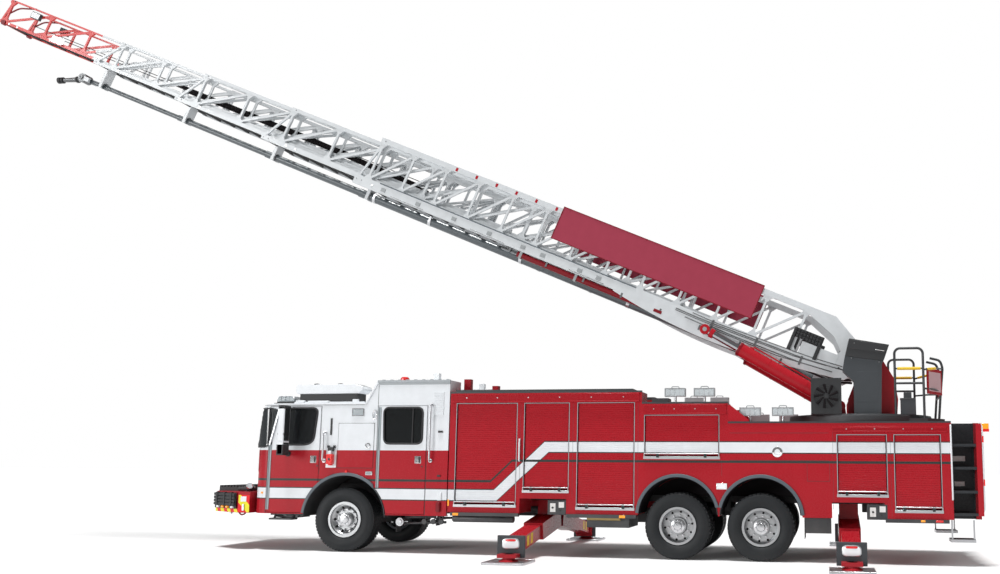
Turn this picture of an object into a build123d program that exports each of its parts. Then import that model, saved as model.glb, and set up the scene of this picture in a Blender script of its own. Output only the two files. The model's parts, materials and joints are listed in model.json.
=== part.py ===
"""Rear-mount aerial ladder fire engine, standing on its wheels and outriggers with the ladder raised.

Frame: millimetres, +Z up, ground at Z = 0, front of the truck towards -X, left side towards -Y.
The X datum is the middle of the standing machine with its ladder run out.
"""
import os
from math import atan2, cos, degrees, hypot, radians, sin

from build123d import *

os.makedirs("parts", exist_ok=True)

# ---------------------------------------------------------------- driving sizes: chassis
HALF_WIDTH = 1250.0            # centre line to the side skin of cab and body
FRONT_AXLE_X = -890.0
WHEELBASE = 5739.0             # front axle to first rear axle
TANDEM = 1321.0                # between the two rear axles
REAR_AXLES_X = (FRONT_AXLE_X + WHEELBASE, FRONT_AXLE_X + WHEELBASE + TANDEM)

FRONT_TYRE_R = 538.0
FRONT_TYRE_W = 385.0
REAR_TYRE_R = 527.0
REAR_TYRE_W = 279.0
TWIN_PITCH = 340.0             # between the middles of two twin tyres
RIM_R = 298.5                  # rim flange
TYRE_SEAT_R = 286.0            # tyre bead on the rim
RIM_SHARE = 0.82               # rim width as a share of the tyre's width
RIM_FLANGE_T = 16.0
BEAD_CLEAR = 0.3
FRONT_WHEEL_Y = HALF_WIDTH - FRONT_TYRE_W / 2
REAR_OUTER_Y = HALF_WIDTH - REAR_TYRE_W / 2
REAR_TWIN_Y = REAR_OUTER_Y - TWIN_PITCH / 2
KINGPIN_Y = 880.0

RAIL_OUTER_Y = 432.0           # outer faces of the two frame rails
RAIL_FLANGE = 82.0
RAIL_WEB = 10.0
RAIL_Z = (880.0, 1130.0)
RAIL_X = (-2600.0, 9380.0)

SEAT_GAP = 0.3                 # between a piece and what carries it

# ---------------------------------------------------------------- driving sizes: cab
CAB_X = (-2660.0, 950.0)
CAB_BOTTOM_Z = 624.0
CAB_FLOOR_Z = 1300.0
CAB_ROOF_Z = 2500.0
HIGH_ROOF_Z = 2895.0
HIGH_ROOF_X = -350.0           # where the raised rear roof reaches its full height
ROOF_STEP_X = -570.0           # where it starts to rise
ROOF_NOTCH_Y = 760.0           # half width of the trough that the bedded ladder lies in
CAB_WALL = 50.0
CORNER_R = 300.0
WINDSCREEN_FOOT_Z = 1720.0
WINDSCREEN_RAKE = 170.0        # how far the windscreen leans back
CAB_ARCH_R = 755.0
DOOR_GAP = 8.0
DOOR_TOP_Z = 2470.0
DOOR_BOTTOM_Z = 640.0

# ---------------------------------------------------------------- driving sizes: body
BODY_X = (970.0, 4260.0, 5660.0, 9090.0)   # front, step to middle height, step to low deck, rear
BODY_TOP_Z = (2672.0, 2482.0, 2163.0)      # top of front, middle and rear stretch
BODY_BOTTOM_Z = 690.0
BODY_WALL = 45.0
TROUGH_Y = 770.0               # half width of the trough between the high lockers
TROUGH_Z = 2080.0
REAR_X = 9530.0
RUB_RAIL_Z = (655.0, 760.0)
REAR_ARCH_R = 650.0
REAR_ARCH_Z = 667.0
DOOR_INSET = 18.0
SHUTTER_T = 22.0

# ---------------------------------------------------------------- driving sizes: turntable and ladder
TURN_X = 7760.0
DECK_R = 1160.0
DECK_Z = (2195.0, 2305.0)
PIVOT_X = 7870.0
PIVOT_Z = 3250.0
LADDER_ANGLE = 23.4            # degrees above level as it stands
PIVOT_PIN_R = 60.0
YOKE_Y = (690.0, 750.0)        # inner and outer face of a yoke plate
LIFT_PIN_X = 7430.0
LIFT_PIN_Z = 2450.0
LIFT_EYE_U = 2616.0            # rod pin, along the ladder from the pivot
LIFT_EYE_W = -590.0            # and across it
LIFT_Y = 740.0                 # middle plane of a lift cylinder
BARREL_R = 112.0
ROD_R = 62.0

# ---------------------------------------------------------------- driving sizes: outriggers
LEG_X = (2440.0, 7540.0)
LEG_SLOPE = 8.1                # degrees
LEG_END_Y = 2260.0
LEG_END_Z = 240.0
LEG_SIZE = (270.0, 210.0)
SLEEVE_WALL = 30.0
LEG_CLEAR = 0.5
LEG_LENGTH = 1260.0
PAD_SIZE = 640.0
PAD_T = 28.0


def slab(x, y, z, mode=Mode.ADD):
    """A box from its low and high corner values along each axis."""
    middle = ((x[0] + x[1]) / 2, (y[0] + y[1]) / 2, (z[0] + z[1]) / 2)
    with Locations(middle):
        Box(abs(x[1] - x[0]), abs(y[1] - y[0]), abs(z[1] - z[0]), mode=mode)


def side_prism(points, y, mode=Mode.ADD):
    """A plate whose outline is drawn in side view and which runs across from y[0] to y[1]."""
    low, high = min(y), max(y)
    with BuildSketch(Plane.XZ.offset(-high)) as outline:
        Polygon(*points, align=None)
    extrude(outline.sketch, amount=high - low, mode=mode)


def plan_prism(points, z, mode=Mode.ADD):
    """A plate whose outline is drawn in plan and which stands from z[0] to z[1]."""
    with BuildSketch(Plane.XY.offset(z[0])) as outline:
        Polygon(*points, align=None)
    extrude(outline.sketch, amount=z[1] - z[0], mode=mode)


def cross_rod(x, z, radius, y, mode=Mode.ADD):
    """A round bar across the truck."""
    low, high = min(y), max(y)
    with BuildSketch(Plane.XZ.offset(-high)) as disc:
        with Locations((x, z)):
            Circle(radius)
    extrude(disc.sketch, amount=high - low, mode=mode)


def pipe_run(points, radius, bend):
    """A round tube swept along straight runs joined by tangent arcs."""
    with BuildLine() as path:
        FilletPolyline(*points, radius=bend)
    with BuildSketch(Plane(origin=path.line @ 0, z_dir=path.line % 0)) as ring:
        Circle(radius)
    sweep(ring.sketch, path=path.line)


# ================================================================ chassis frame
TOW_EYE_X = 9585.0
TOW_EYE_Z = 940.0
TOW_EYE_R = 30.0
TOW_EYE_Y = (392.0, 432.0)

with BuildPart() as frame_rails:
    for side in (-1, 1):
        outer = side * RAIL_OUTER_Y
        inner = side * (RAIL_OUTER_Y - RAIL_FLANGE)
        slab(RAIL_X, (outer, inner), RAIL_Z)
        slab((RAIL_X[0] - 1, RAIL_X[1] + 1), (side * (RAIL_OUTER_Y - RAIL_WEB),
                                              side * (RAIL_OUTER_Y - 200)),
             (RAIL_Z[0] + RAIL_WEB, RAIL_Z[1] - RAIL_WEB), mode=Mode.SUBTRACT)
    for cross_x in (-2580.0, 300.0, 1700.0, 3500.0, 5509.0, 7100.0, 9300.0):
        slab((cross_x, cross_x + 80), (-RAIL_OUTER_Y + RAIL_WEB, RAIL_OUTER_Y - RAIL_WEB),
             (RAIL_Z[0] + 40, RAIL_Z[1] - 40))
    # towing eyes behind the rear ends of the rails
    for side in (-1, 1):
        slab((RAIL_X[1] - 5, TOW_EYE_X + 55), (side * TOW_EYE_Y[0], side * TOW_EYE_Y[1]),
             (TOW_EYE_Z - 60, TOW_EYE_Z + 60))
        cross_rod(TOW_EYE_X, TOW_EYE_Z, TOW_EYE_R, (side * (TOW_EYE_Y[0] - 5), side * (TOW_EYE_Y[1] + 5)),
                  mode=Mode.SUBTRACT)
frame_rails.part.label = "frame_rails"
export_step(frame_rails.part, "parts/frame_rails.step")

# ---------------------------------------------------------------- engine and driveline
ENGINE_X = (-1950.0, -450.0)
ENGINE_Z = (760.0, 1560.0)
ENGINE_HALF_Y = 330.0
SHAFT_R = 55.0
SHAFT_Z = 700.0

with BuildPart() as engine_block:
    slab(ENGINE_X, (-ENGINE_HALF_Y, ENGINE_HALF_Y), ENGINE_Z)
    with BuildSketch(Plane.YZ.offset(ENGINE_X[1])) as gearbox:
        with Locations((0, 900)):
            Circle(250)
    extrude(gearbox.sketch, amount=700, taper=8)
    for shaft_x, shaft_end in ((ENGINE_X[1] + 700, REAR_AXLES_X[0] - 260),
                               (REAR_AXLES_X[0] + 220, REAR_AXLES_X[1] - 260)):
        with BuildSketch(Plane.YZ.offset(shaft_x)) as shaft:
            with Locations((0, SHAFT_Z)):
                Circle(SHAFT_R)
        extrude(shaft.sketch, amount=shaft_end - shaft_x)
    for side in (-1, 1):
        slab((ENGINE_X[0] + 600, ENGINE_X[0] + 700),
             (side * (ENGINE_HALF_Y - 5), side * (RAIL_OUTER_Y - RAIL_WEB - SEAT_GAP)), (950, 1050))
engine_block.part.label = "engine_block"
export_step(engine_block.part, "parts/engine_block.step")

# ---------------------------------------------------------------- axles
SPRING_HALF = 680.0
KINGPIN_R = 30.0
KINGPIN_GAP = 0.4
AXLE_END_R = 60.0
AXLE_END_Z = (480.0, 590.0)

with BuildPart() as front_axle:
    with BuildSketch(Plane.YZ.offset(FRONT_AXLE_X - 60)) as beam:
        Polygon((-KINGPIN_Y, 590), (-KINGPIN_Y, 480), (-760, 480), (-600, 420), (600, 420), (760, 480),
                (KINGPIN_Y, 480), (KINGPIN_Y, 590), (740, 590), (560, 530), (-560, 530), (-740, 590),
                align=None)
    extrude(beam.sketch, amount=120)
    for side in (-1, 1):
        with Locations((FRONT_AXLE_X, side * KINGPIN_Y, 535)):
            Cylinder(KINGPIN_R, 300)
            Cylinder(AXLE_END_R, AXLE_END_Z[1] - AXLE_END_Z[0])
        side_prism(((FRONT_AXLE_X - SPRING_HALF, 800), (FRONT_AXLE_X - 120, 600), (FRONT_AXLE_X - 120, 530),
                    (FRONT_AXLE_X + 120, 530), (FRONT_AXLE_X + 120, 600), (FRONT_AXLE_X + SPRING_HALF, 800),
                    (FRONT_AXLE_X + SPRING_HALF, 840), (FRONT_AXLE_X, 660), (FRONT_AXLE_X - SPRING_HALF,
                                                                             840)),
                   (side * 350, side * 430))
        for end in (-1, 1):
            spring_eye = FRONT_AXLE_X + end * SPRING_HALF
            slab((spring_eye - 60, spring_eye + 60), (side * 350, side * 430), (790, RAIL_Z[0]))
front_axle.part.label = "front_axle"
export_step(front_axle.part, "parts/front_axle.step")

HUB_BORE_CLEAR = 0.5
STUB_R = 60.0

with BuildPart() as rear_axles:
    for axle_x in REAR_AXLES_X:
        cross_rod(axle_x, REAR_TYRE_R, 75, (-620, 620))
        for side in (-1, 1):
            cross_rod(axle_x, REAR_TYRE_R, STUB_R, (side * 600, side * (REAR_OUTER_Y - 30)))
            slab((axle_x - 90, axle_x + 90), (side * 350, side * 430), (REAR_TYRE_R - 30, RAIL_Z[0]))
        with Locations((axle_x, 0, REAR_TYRE_R)):
            Sphere(230)
        with BuildSketch(Plane.YZ.offset(axle_x - 260)) as nose:
            with Locations((0, SHAFT_Z - 60)):
                Circle(95)
        extrude(nose.sketch, amount=230)
    middle_x = sum(REAR_AXLES_X) / 2
    for side in (-1, 1):
        side_prism(((REAR_AXLES_X[0], 640), (middle_x, 740), (REAR_AXLES_X[1], 640), (REAR_AXLES_X[1], 690),
                    (middle_x, 830), (REAR_AXLES_X[0], 690)), (side * 350, side * 430))
        slab((middle_x - 110, middle_x + 110), (side * 350, side * 430), (740, RAIL_Z[0]))
rear_axles.part.label = "rear_axles"
export_step(rear_axles.part, "parts/rear_axles.step")

# ---------------------------------------------------------------- knuckles, wheels and tyres
DISC_T = 16.0
FRONT_DISC_OUT = 60.0          # outer face of a front wheel's disc from the wheel's middle plane
TWIN_DISC_OUT = TWIN_PITCH / 2  # the discs of two twins meet half way between them
FRONT_STUB_R = 48.0


def tyre_profile(width, radius, seat):
    """Half section of a tyre: local x across the tyre, local y its radius."""
    half = width / 2
    bead = half * RIM_SHARE - RIM_FLANGE_T - BEAD_CLEAR
    bulge_r = seat + (radius - seat) * 0.5
    with BuildLine() as line:
        for sense in (-1, 1):
            Polyline((0, seat), (sense * bead, seat), (sense * bead, RIM_R + 4),
                     (sense * half * 0.92, RIM_R + 30),
                     (sense * half, bulge_r), (sense * half * 0.9, radius - 34))
            ThreePointArc((sense * half * 0.9, radius - 34), (sense * half * 0.8, radius - 10),
                          (sense * half * 0.62, radius))
            Line((sense * half * 0.62, radius), (0, radius))
    return line.line


def tyre(x, y, z, width, radius):
    """A tyre turned about an axis across the truck."""
    with BuildSketch(Plane(origin=(x, y, z), x_dir=(0, 1, 0), z_dir=(1, 0, 0))) as section:
        with BuildLine():
            add(tyre_profile(width, radius, TYRE_SEAT_R))
        make_face()
    revolve(section.sketch, axis=Axis((x, y, z), (0, 1, 0)))


def rim(x, y, z, width, out, disc_out, bore):
    """A disc wheel: a barrel with two flanges and a dished centre with hand holes; out is its outboard sense."""
    half = width / 2
    lip = half - RIM_FLANGE_T
    seat = TYRE_SEAT_R - BEAD_CLEAR
    barrel_r = 262
    with BuildSketch(Plane(origin=(x, y, z), x_dir=(0, 1, 0), z_dir=(1, 0, 0))) as section:
        Polygon((-half, barrel_r), (half, barrel_r), (half, RIM_R), (lip, RIM_R), (lip, seat),
                (-lip, seat), (-lip, RIM_R), (-half, RIM_R), align=None)
        Polygon((out * (disc_out - DISC_T), bore), (out * disc_out, bore), (out * disc_out, 180),
                (out * (half - 30), 240), (out * (half - 30), barrel_r + 5),
                (out * (half - 50), barrel_r + 5),
                (out * (half - 50), 235), (out * (disc_out - DISC_T), 175), align=None)
    revolve(section.sketch, axis=Axis((x, y, z), (0, 1, 0)))
    with BuildSketch(Plane(origin=(x, y, z), x_dir=(1, 0, 0), z_dir=(0, -1, 0))) as holes:
        with PolarLocations(206, 10):
            Circle(19)
    extrude(holes.sketch, amount=width, both=True, mode=Mode.SUBTRACT)


SIDES = (("left", -1), ("right", 1))

for side_name, side in SIDES:
    wheel_y = side * FRONT_WHEEL_Y
    with BuildPart() as knuckle:
        slab((FRONT_AXLE_X - 75, FRONT_AXLE_X + 75), (side * (KINGPIN_Y - 75), side * (KINGPIN_Y + 110)),
             (395, 680))
        slab((FRONT_AXLE_X - 80, FRONT_AXLE_X + 80), (side * (KINGPIN_Y - 80), side * (KINGPIN_Y + 66)),
             (474, 596),
             mode=Mode.SUBTRACT)
        with Locations((FRONT_AXLE_X, side * KINGPIN_Y, 535)):
            Cylinder(KINGPIN_R + KINGPIN_GAP, 400, mode=Mode.SUBTRACT)
        cross_rod(FRONT_AXLE_X, FRONT_TYRE_R, FRONT_STUB_R, (side * (KINGPIN_Y + 100),
                                                             side * (wheel_y * side + 70)))
    knuckle.part.label = f"knuckle_{side_name}"
    export_step(knuckle.part, f"parts/knuckle_{side_name}.step")

    with BuildPart() as front_tyre:
        tyre(FRONT_AXLE_X, wheel_y, FRONT_TYRE_R, FRONT_TYRE_W, FRONT_TYRE_R)
    front_tyre.part.label = f"front_tyre_{side_name}"
    export_step(front_tyre.part, f"parts/front_tyre_{side_name}.step")

    with BuildPart() as front_rim:
        rim(FRONT_AXLE_X, wheel_y, FRONT_TYRE_R, FRONT_TYRE_W * RIM_SHARE, side, FRONT_DISC_OUT,
            FRONT_STUB_R + HUB_BORE_CLEAR)
        cross_rod(FRONT_AXLE_X, FRONT_TYRE_R, 120, (side * (FRONT_WHEEL_Y - 30),
                                                    side * (FRONT_WHEEL_Y + 100)))
        cross_rod(FRONT_AXLE_X, FRONT_TYRE_R, FRONT_STUB_R + HUB_BORE_CLEAR,
                  (side * (FRONT_WHEEL_Y - 40), side * (FRONT_WHEEL_Y + 75)), mode=Mode.SUBTRACT)
    front_rim.part.label = f"front_rim_{side_name}"
    export_step(front_rim.part, f"parts/front_rim_{side_name}.step")

    for axle_number, axle_x in enumerate(REAR_AXLES_X, start=1):
        tag = f"{axle_number}_{side_name}"
        with BuildPart() as twin_tyres:
            for twin in (-1, 1):
                tyre(axle_x, side * REAR_TWIN_Y + twin * TWIN_PITCH / 2, REAR_TYRE_R, REAR_TYRE_W,
                     REAR_TYRE_R)
        twin_tyres.part.label = f"twin_tyres_{tag}"
        export_step(twin_tyres.part, f"parts/twin_tyres_{tag}.step")

        with BuildPart() as twin_rims:
            for twin in (-1, 1):
                rim(axle_x, side * REAR_TWIN_Y + twin * TWIN_PITCH / 2, REAR_TYRE_R,
                    REAR_TYRE_W * RIM_SHARE,
                    -twin, TWIN_DISC_OUT, STUB_R + HUB_BORE_CLEAR + 20)
            cross_rod(axle_x, REAR_TYRE_R, 130, (side * (REAR_TWIN_Y - 110), side * (REAR_OUTER_Y + 60)))
            cross_rod(axle_x, REAR_TYRE_R, STUB_R + HUB_BORE_CLEAR,
                      (side * (REAR_TWIN_Y - 120), side * (REAR_OUTER_Y - 25)), mode=Mode.SUBTRACT)
        twin_rims.part.label = f"twin_rims_{tag}"
        export_step(twin_rims.part, f"parts/twin_rims_{tag}.step")

# ================================================================ cab
SKIRT = 50.0
CAB_MOUNTS_X = (-2420.0, 700.0)
WINDSCREEN_TOP_Z = 2420.0
WINDSCREEN_BOTTOM_Z = 1765.0
WINDSCREEN_POST = 45.0         # half width of the middle post

# one row for each side door: name, front x, rear x, window corners (x, z) from the lower front corner
DOORS = (
    ("front", -2350.0, -1392.0, ((-2150, 1916), (-2100, 1800), (-1632, 1800), (-1510, 1865), (-1450, 2435),
                                 (-2020, 2435))),
    ("rear", -330.0, 560.0, ((-210, 1820), (480, 1820), (480, 2435), (-230, 2435))),
)

CAB_SIDE = (
    (CAB_X[0], CAB_BOTTOM_Z), (CAB_X[1], CAB_BOTTOM_Z), (CAB_X[1], HIGH_ROOF_Z), (HIGH_ROOF_X, HIGH_ROOF_Z),
    (ROOF_STEP_X, CAB_ROOF_Z), (CAB_X[0] + WINDSCREEN_RAKE + 60, CAB_ROOF_Z),
    (CAB_X[0] + WINDSCREEN_RAKE, CAB_ROOF_Z - 60), (CAB_X[0] + 20, WINDSCREEN_FOOT_Z),
            (CAB_X[0], WINDSCREEN_FOOT_Z - 90),
)


def arch_edge_x(z, low_side):
    """Where the front wheel arch crosses height z, on its front (-1) or rear (+1) side."""
    rise = z - FRONT_TYRE_R
    return FRONT_AXLE_X + low_side * (CAB_ARCH_R**2 - rise**2) ** 0.5


with BuildPart() as cab_shell:
    # outer form: side profile, with the front corners rounded in plan
    side_prism(CAB_SIDE, (-HALF_WIDTH, HALF_WIDTH))
    with BuildSketch(Plane.XY.offset(CAB_BOTTOM_Z - 10)) as plan:
        with Locations(((CAB_X[0] + CAB_X[1]) / 2 + 500, 0)):
            RectangleRounded(CAB_X[1] - CAB_X[0] + 1000, 2 * HALF_WIDTH, CORNER_R)
    extrude(plan.sketch, amount=HIGH_ROOF_Z - CAB_BOTTOM_Z + 20, mode=Mode.INTERSECT)
    # the trough through the raised roof
    slab((CAB_X[0], CAB_X[1] + 10), (-ROOF_NOTCH_Y, ROOF_NOTCH_Y), (CAB_ROOF_Z, HIGH_ROOF_Z + 10),
         mode=Mode.SUBTRACT)
    # cabin
    inner_front = CAB_X[0] + CAB_WALL
    inner_y = HALF_WIDTH - CAB_WALL
    side_prism(((inner_front, CAB_FLOOR_Z + CAB_WALL), (CAB_X[1] - CAB_WALL, CAB_FLOOR_Z + CAB_WALL),
                (CAB_X[1] - CAB_WALL, CAB_ROOF_Z - CAB_WALL),
                (inner_front + WINDSCREEN_RAKE + 30, CAB_ROOF_Z - CAB_WALL),
                (inner_front + 20, WINDSCREEN_FOOT_Z), (inner_front, WINDSCREEN_FOOT_Z - 90)),
               (-inner_y + 60, inner_y - 60), mode=Mode.SUBTRACT)
    for side in (-1, 1):
        slab((CAB_X[0] + CORNER_R + 20, CAB_X[1] - CAB_WALL), (side * (inner_y - 70), side * inner_y),
             (CAB_FLOOR_Z + CAB_WALL, CAB_ROOF_Z - CAB_WALL), mode=Mode.SUBTRACT)
        # head room under the raised roof, outside the trough
        slab((HIGH_ROOF_X + 40, CAB_X[1] - CAB_WALL), (side * (ROOF_NOTCH_Y + CAB_WALL), side * inner_y),
             (CAB_ROOF_Z - CAB_WALL - 10, HIGH_ROOF_Z - CAB_WALL), mode=Mode.SUBTRACT)
    # open underside with side skirts and front wall left standing
    slab((CAB_X[0] + CORNER_R, CAB_X[1] + 10), (-HALF_WIDTH + SKIRT, HALF_WIDTH - SKIRT),
         (CAB_BOTTOM_Z - 10, CAB_FLOOR_Z), mode=Mode.SUBTRACT)
    slab((CAB_X[0] + 90, CAB_X[0] + CORNER_R + 10), (-900, 900), (CAB_BOTTOM_Z - 10, CAB_FLOOR_Z),
         mode=Mode.SUBTRACT)
    # hood over the engine
    slab((ENGINE_X[0] - 80, ENGINE_X[1] + 80), (-430, 430), (CAB_FLOOR_Z + 10, ENGINE_Z[1] + 90))
    slab((ENGINE_X[0] - 40, ENGINE_X[1] + 40), (-390, 390), (CAB_FLOOR_Z - 10, ENGINE_Z[1] + 50),
         mode=Mode.SUBTRACT)
    # wheel arches and grille opening
    for side in (-1, 1):
        cross_rod(FRONT_AXLE_X, FRONT_TYRE_R, CAB_ARCH_R, (side * 1150, side * 1260), mode=Mode.SUBTRACT)
    slab((CAB_X[0] - 10, CAB_X[0] + 200), (-560, 560), (840, 1240), mode=Mode.SUBTRACT)
    # windscreen: two openings
    for side in (-1, 1):
        slab((CAB_X[0] - 20, CAB_X[0] + 420), (side * WINDSCREEN_POST, side * 1090),
             (WINDSCREEN_BOTTOM_Z, WINDSCREEN_TOP_Z), mode=Mode.SUBTRACT)
    for door_name, front_x, rear_x, _ in DOORS:
        for side in (-1, 1):
            slab((front_x, rear_x), (side * 1150, side * 1260), (DOOR_BOTTOM_Z, DOOR_TOP_Z),
                 mode=Mode.SUBTRACT)
    # step wells behind the lower part of each door
    for step_front, step_rear in ((-2330.0, arch_edge_x(1000.0, -1) - 60), (arch_edge_x(1000.0, 1) + 60,
                                                                            540.0)):
        for side in (-1, 1):
            for tread_z in (CAB_BOTTOM_Z, 960.0):
                slab((step_front, step_rear), (side * 880, side * (HALF_WIDTH - SKIRT)),
                     (tread_z, tread_z + 12))
            slab((step_front, step_rear), (side * 868, side * 880), (CAB_BOTTOM_Z, CAB_FLOOR_Z + 10))
    for side in (-1, 1):
        cross_rod(FRONT_AXLE_X, FRONT_TYRE_R, CAB_ARCH_R, (side * 860, side * 1210), mode=Mode.SUBTRACT)
    # cab mounts on the frame rails
    for mount_x in CAB_MOUNTS_X:
        for side in (-1, 1):
            slab((mount_x - 60, mount_x + 60), (side * (RAIL_OUTER_Y - RAIL_FLANGE), side * RAIL_OUTER_Y),
                 (RAIL_Z[1] + SEAT_GAP, CAB_FLOOR_Z + 5))
    # gap under the front wall for the bumper's brackets
    slab((CAB_X[0] - 10, CAB_X[0] + 200), (-900, 900), (CAB_BOTTOM_Z - 10, 835), mode=Mode.SUBTRACT)
cab_shell.part.label = "cab_shell"
export_step(cab_shell.part, "parts/cab_shell.step")

# ---------------------------------------------------------------- side doors of the cab
PANE_T = 8.0
MIRROR_ARM_R = 12.0
MIRROR_X = -1945.0
HINGE_R = 8.0
HINGE_Y = HALF_WIDTH + 14.0
HINGE_LEAF = (45.0, 9.0)       # width on the door, thickness
# lowest point of each door's hinge
HINGE_FOOT_Z = {"front": 690.0, "rear": 1080.0}
HINGE_TOP_Z = 2440.0

for door_name, front_x, rear_x, window in DOORS:
    hinge_x = front_x + DOOR_GAP
    latch_x = rear_x - DOOR_GAP
    for side_name, side in SIDES:
        skin_y = side * HALF_WIDTH
        inner_skin_y = side * (HALF_WIDTH - CAB_WALL)
        with BuildPart() as cab_door:
            slab((hinge_x, latch_x), (skin_y, inner_skin_y), (DOOR_BOTTOM_Z + DOOR_GAP,
                                                              DOOR_TOP_Z - DOOR_GAP))
            side_prism(window, (skin_y + side * 5, inner_skin_y - side * 5), mode=Mode.SUBTRACT)
            cross_rod(FRONT_AXLE_X, FRONT_TYRE_R, CAB_ARCH_R + DOOR_GAP,
                      (skin_y + side * 5, inner_skin_y - side * 5),
                      mode=Mode.SUBTRACT)
            # full-length hinge: a leaf on the skin and the barrel that the door turns about
            foot_z = HINGE_FOOT_Z[door_name]
            slab((hinge_x, hinge_x + HINGE_LEAF[0]), (skin_y, skin_y + side * HINGE_LEAF[1]),
                 (foot_z, HINGE_TOP_Z))
            with Locations((hinge_x + HINGE_R - 2, side * HINGE_Y, (foot_z + HINGE_TOP_Z) / 2)):
                Cylinder(HINGE_R, HINGE_TOP_Z - foot_z)
            if door_name == "front":
                # mirror on its two arms, beside the window
                for arm_z in (1700.0, 2448.0):
                    cross_rod(MIRROR_X, arm_z, MIRROR_ARM_R, (side * (HALF_WIDTH - 10),
                                                              side * (HALF_WIDTH + 165)))
                slab((MIRROR_X - 55, MIRROR_X + 55), (side * (HALF_WIDTH + 150), side * (HALF_WIDTH + 330)),
                     (1625, 2452))
        cab_door.part.label = f"door_{door_name}_{side_name}"
        export_step(cab_door.part, f"parts/door_{door_name}_{side_name}.step")

        with BuildPart() as door_glass:
            side_prism(window, (side * (HALF_WIDTH - 16), side * (HALF_WIDTH - 16 - PANE_T)))
        door_glass.part.label = f"glass_{door_name}_{side_name}"
        export_step(door_glass.part, f"parts/glass_{door_name}_{side_name}.step")

# ---------------------------------------------------------------- windscreen, inside of the cab
with BuildPart() as windscreen:
    rake_share = (WINDSCREEN_BOTTOM_Z - WINDSCREEN_FOOT_Z) / (CAB_ROOF_Z - 60 - WINDSCREEN_FOOT_Z)
    top_share = (WINDSCREEN_TOP_Z - WINDSCREEN_FOOT_Z) / (CAB_ROOF_Z - 60 - WINDSCREEN_FOOT_Z)
    lean = WINDSCREEN_RAKE - 20
    foot_x = CAB_X[0] + 20 + lean * rake_share + 15
    head_x = CAB_X[0] + 20 + lean * top_share + 15
    for side in (-1, 1):
        side_prism(((foot_x, WINDSCREEN_BOTTOM_Z), (head_x, WINDSCREEN_TOP_Z),
                    (head_x + PANE_T, WINDSCREEN_TOP_Z),
                    (foot_x + PANE_T, WINDSCREEN_BOTTOM_Z)), (side * WINDSCREEN_POST, side * 1090))
windscreen.part.label = "windscreen"
export_step(windscreen.part, "parts/windscreen.step")

CABIN_FLOOR_TOP = CAB_FLOOR_Z + CAB_WALL
# seats: front x, centre y, back towards the front (-1) or rear (+1) of the truck
SEATS = ((-1700.0, -760.0, 1), (-1700.0, 760.0, 1), (330.0, -820.0, 1), (330.0, 820.0, 1), (330.0, 0.0, 1))

WHEEL_HUB = (-2150.0, -760.0, 1850.0)

with BuildPart() as cab_interior:
    for seat_x, seat_y, back in SEATS:
        slab((seat_x - 230, seat_x + 230), (seat_y - 230, seat_y + 230),
             (CABIN_FLOOR_TOP, CABIN_FLOOR_TOP + 330))
        side_prism(((seat_x + back * 130, CABIN_FLOOR_TOP + 320),
                    (seat_x + back * 260, CABIN_FLOOR_TOP + 320),
                    (seat_x + back * 330, CABIN_FLOOR_TOP + 1000),
                    (seat_x + back * 240, CABIN_FLOOR_TOP + 1000)),
                   (seat_y - 220, seat_y + 220))
    side_prism(((CAB_X[0] + CAB_WALL + 40, CABIN_FLOOR_TOP), (CAB_X[0] + CAB_WALL + 40, WINDSCREEN_FOOT_Z),
                (CAB_X[0] + 250, WINDSCREEN_FOOT_Z + 60), (CAB_X[0] + 520, WINDSCREEN_FOOT_Z - 40),
                (CAB_X[0] + 430, CABIN_FLOOR_TOP)), (-1100, 1100))
    with BuildSketch(Plane(origin=WHEEL_HUB, x_dir=(0, 1, 0), z_dir=(0.55, 0, 0.83))) as wheel_rim:
        Circle(235)
        Circle(205, mode=Mode.SUBTRACT)
        Rectangle(420, 36)
        Circle(50)
    extrude(wheel_rim.sketch, amount=28)
    with BuildSketch(Plane(origin=WHEEL_HUB, x_dir=(0, 1, 0), z_dir=(-0.55, 0, -0.83))) as column:
        Circle(32)
    extrude(column.sketch, amount=380)
cab_interior.part.label = "cab_interior"
export_step(cab_interior.part, "parts/cab_interior.step")

# ---------------------------------------------------------------- front bumper, grille, lamps
BUMPER_X = -3600.0
BUMPER_SIDE_X = -2890.0        # where the bumper's clipped corner begins
BUMPER_NOSE_Y = 800.0
BUMPER_Z = (625.0, 985.0)

with BuildPart() as front_bumper:
    plan_prism(((CAB_X[0] - 12, -1230), (BUMPER_SIDE_X, -1230), (BUMPER_X, -BUMPER_NOSE_Y),
                (BUMPER_X, BUMPER_NOSE_Y),
                (BUMPER_SIDE_X, 1230), (CAB_X[0] - 12, 1230)), BUMPER_Z)
    plan_prism(((CAB_X[0] - 13, -1200), (BUMPER_SIDE_X + 10, -1200), (BUMPER_X + 30, -BUMPER_NOSE_Y + 20),
                (BUMPER_X + 30, BUMPER_NOSE_Y - 20), (BUMPER_SIDE_X + 10, 1200), (CAB_X[0] - 13, 1200)),
               (BUMPER_Z[0] - 1, BUMPER_Z[1] - 12), mode=Mode.SUBTRACT)
    for side in (-1, 1):
        slab((BUMPER_X + 25, CAB_X[0] + 140), (side * (RAIL_OUTER_Y - 70), side * (RAIL_OUTER_Y - 20)),
             (700, 820))
        slab((CAB_X[0] + 120, CAB_X[0] + 360), (side * (RAIL_OUTER_Y - 70), side * (RAIL_OUTER_Y - 20)),
             (700, RAIL_Z[0]))
front_bumper.part.label = "front_bumper"
export_step(front_bumper.part, "parts/front_bumper.step")

GRILLE_BARS = 7

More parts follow.
